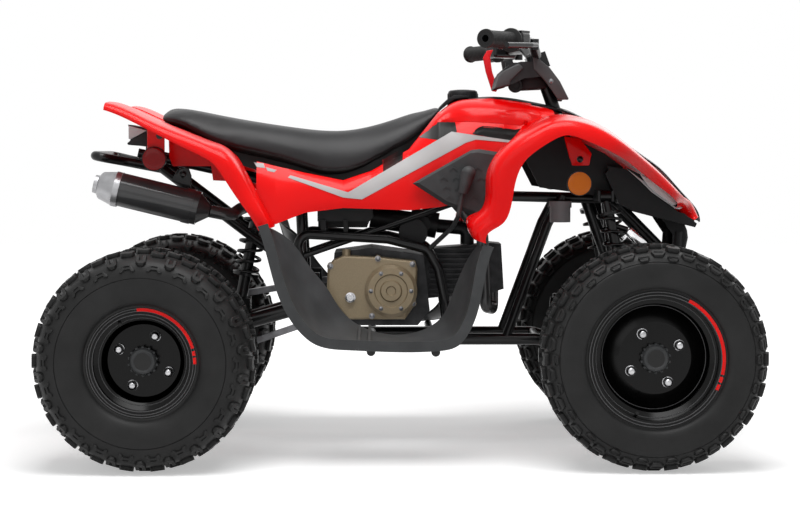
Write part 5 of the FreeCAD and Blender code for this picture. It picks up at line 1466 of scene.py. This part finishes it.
class QuadTyre(bpy.types.PropertyGroup):
    lug_height: metres("Lug height", "Height of the tread blocks", 0.009)
    wall_relief: metres("Wall relief", "How far the side walls stay inside the packed tyre's width", 0.003)
    flange_height: metres("Flange height", "From the rim's outer edge down to the bead", 0.011)
    rim_wall: metres("Rim wall", "Thickness of the rim's sheet", 0.003)
    stud_circle: metres("Stud circle", "Diameter through the wheel nuts", 0.110)
    rear_disc_out: metres("Rear disc offset", "From the wheel's middle to the disc's outer face", 0.046)
    front_disc_out: metres("Front disc offset", "From the wheel's middle to the disc's outer face", 0.038)
    rear_lugs: whole_number("Rear lugs", "Tread blocks in each row of a rear tyre", 22, 6)
    front_lugs: whole_number("Front lugs", "Tread blocks in each row of a front tyre", 22, 6)
    rear_wall_line: metres("Rear wall line", "Radius of the line moulded into the rear side wall", 0.170)
    front_wall_line: metres("Front wall line", "Radius of the line moulded into the front side wall", 0.195)
    steps: whole_number("Steps", "Facets round the carcass", 96, 24)


class QuadSeat(bpy.types.PropertyGroup):
    voxel: metres("Voxel", "Grid of the remeshed foam", 0.005)
    pressure: number("Pressure", "Pressure of the foam in its cover", 4.0)
    swell: metres("Swell", "Furthest that the cover may move outwards", 0.004)
    base_height: metres("Base height", "Height of the moulded base below the sewn line", 0.012)
    seam_depth: metres("Seam depth", "How deep the sewn line draws in", 0.0022)
    tuck: metres("Tuck", "How far the lower edge turns under", 0.007)


class QuadStudio(bpy.types.PropertyGroup):
    sweep: metres("Sweep", "Half the width of the floor paper", 9.0)
    room_light: number("Room light", "Strength of the even light", 0.3)
    top_light: number("Top light", "Power of the lamp overhead", 80.0, "POWER")
    near_light: number("Near light", "Power of the lamp on the camera's side", 10.0, "POWER")
    far_light: number("Far light", "Power of the lamp behind", 16.0, "POWER")
    lamp_size: metres("Lamp size", "Width of each soft lamp", 2.0)
    camera_place: bpy.props.FloatVectorProperty(
        name="Camera place",
        description="Where the camera stands",
        default=(-0.0415, -4.284, 0.646),
        subtype="TRANSLATION",
        unit="LENGTH",
    )
    camera_pitch: degrees("Camera pitch", "How far the camera looks down", 3.11)
    camera_yaw: degrees("Camera yaw", "How far the camera turns to the bike's front", 0.587)
    lens: number("Lens", "Focal length", 87.75, "CAMERA")


class QUAD_PT_panel(bpy.types.Panel):
    """Lists the sizes, the colours and the steps."""

    bl_idname = "QUAD_PT_panel"
    bl_label = "Quad bike"
    bl_space_type = "VIEW_3D"
    bl_region_type = "UI"
    bl_category = "Quad bike"

    def draw(self, context):
        for group in GROUPS:
            data = getattr(context.scene, group)
            for key in data.__annotations__:
                self.layout.prop(data, key)
        for operator in OPERATORS:
            self.layout.operator(operator.bl_idname)


GROUPS = {
    "quad_body": QuadBody,
    "quad_colours": QuadColours,
    "quad_tyre": QuadTyre,
    "quad_seat": QuadSeat,
    "quad_studio": QuadStudio,
}
OPERATORS = (
    QUAD_OT_studio,
    QUAD_OT_finish_frame,
    QUAD_OT_tyres,
    QUAD_OT_wheel_trim,
    QUAD_OT_films,
    QUAD_OT_tank,
    QUAD_OT_seat_pan,
    QUAD_OT_grips,
    QUAD_OT_lamps,
    QUAD_OT_body_fixings,
    QUAD_OT_bar_trim,
    QUAD_OT_silencer_trim,
    QUAD_OT_shock_trim,
    QUAD_OT_engine_trim,
    QUAD_OT_seat,
)
CLASSES = tuple(GROUPS.values()) + OPERATORS + (QUAD_PT_panel,)


def register():
    for item in CLASSES:
        bpy.utils.register_class(item)
    for name, group in GROUPS.items():
        setattr(bpy.types.Scene, name, bpy.props.PointerProperty(type=group))


def unregister():
    for name in GROUPS:
        delattr(bpy.types.Scene, name)
    for item in reversed(CLASSES):
        bpy.utils.unregister_class(item)


def main():
    register()
    for operator in OPERATORS:
        family, name = operator.bl_idname.split(".")
        getattr(getattr(bpy.ops, family), name)()


if __name__ == "__main__":
    main()
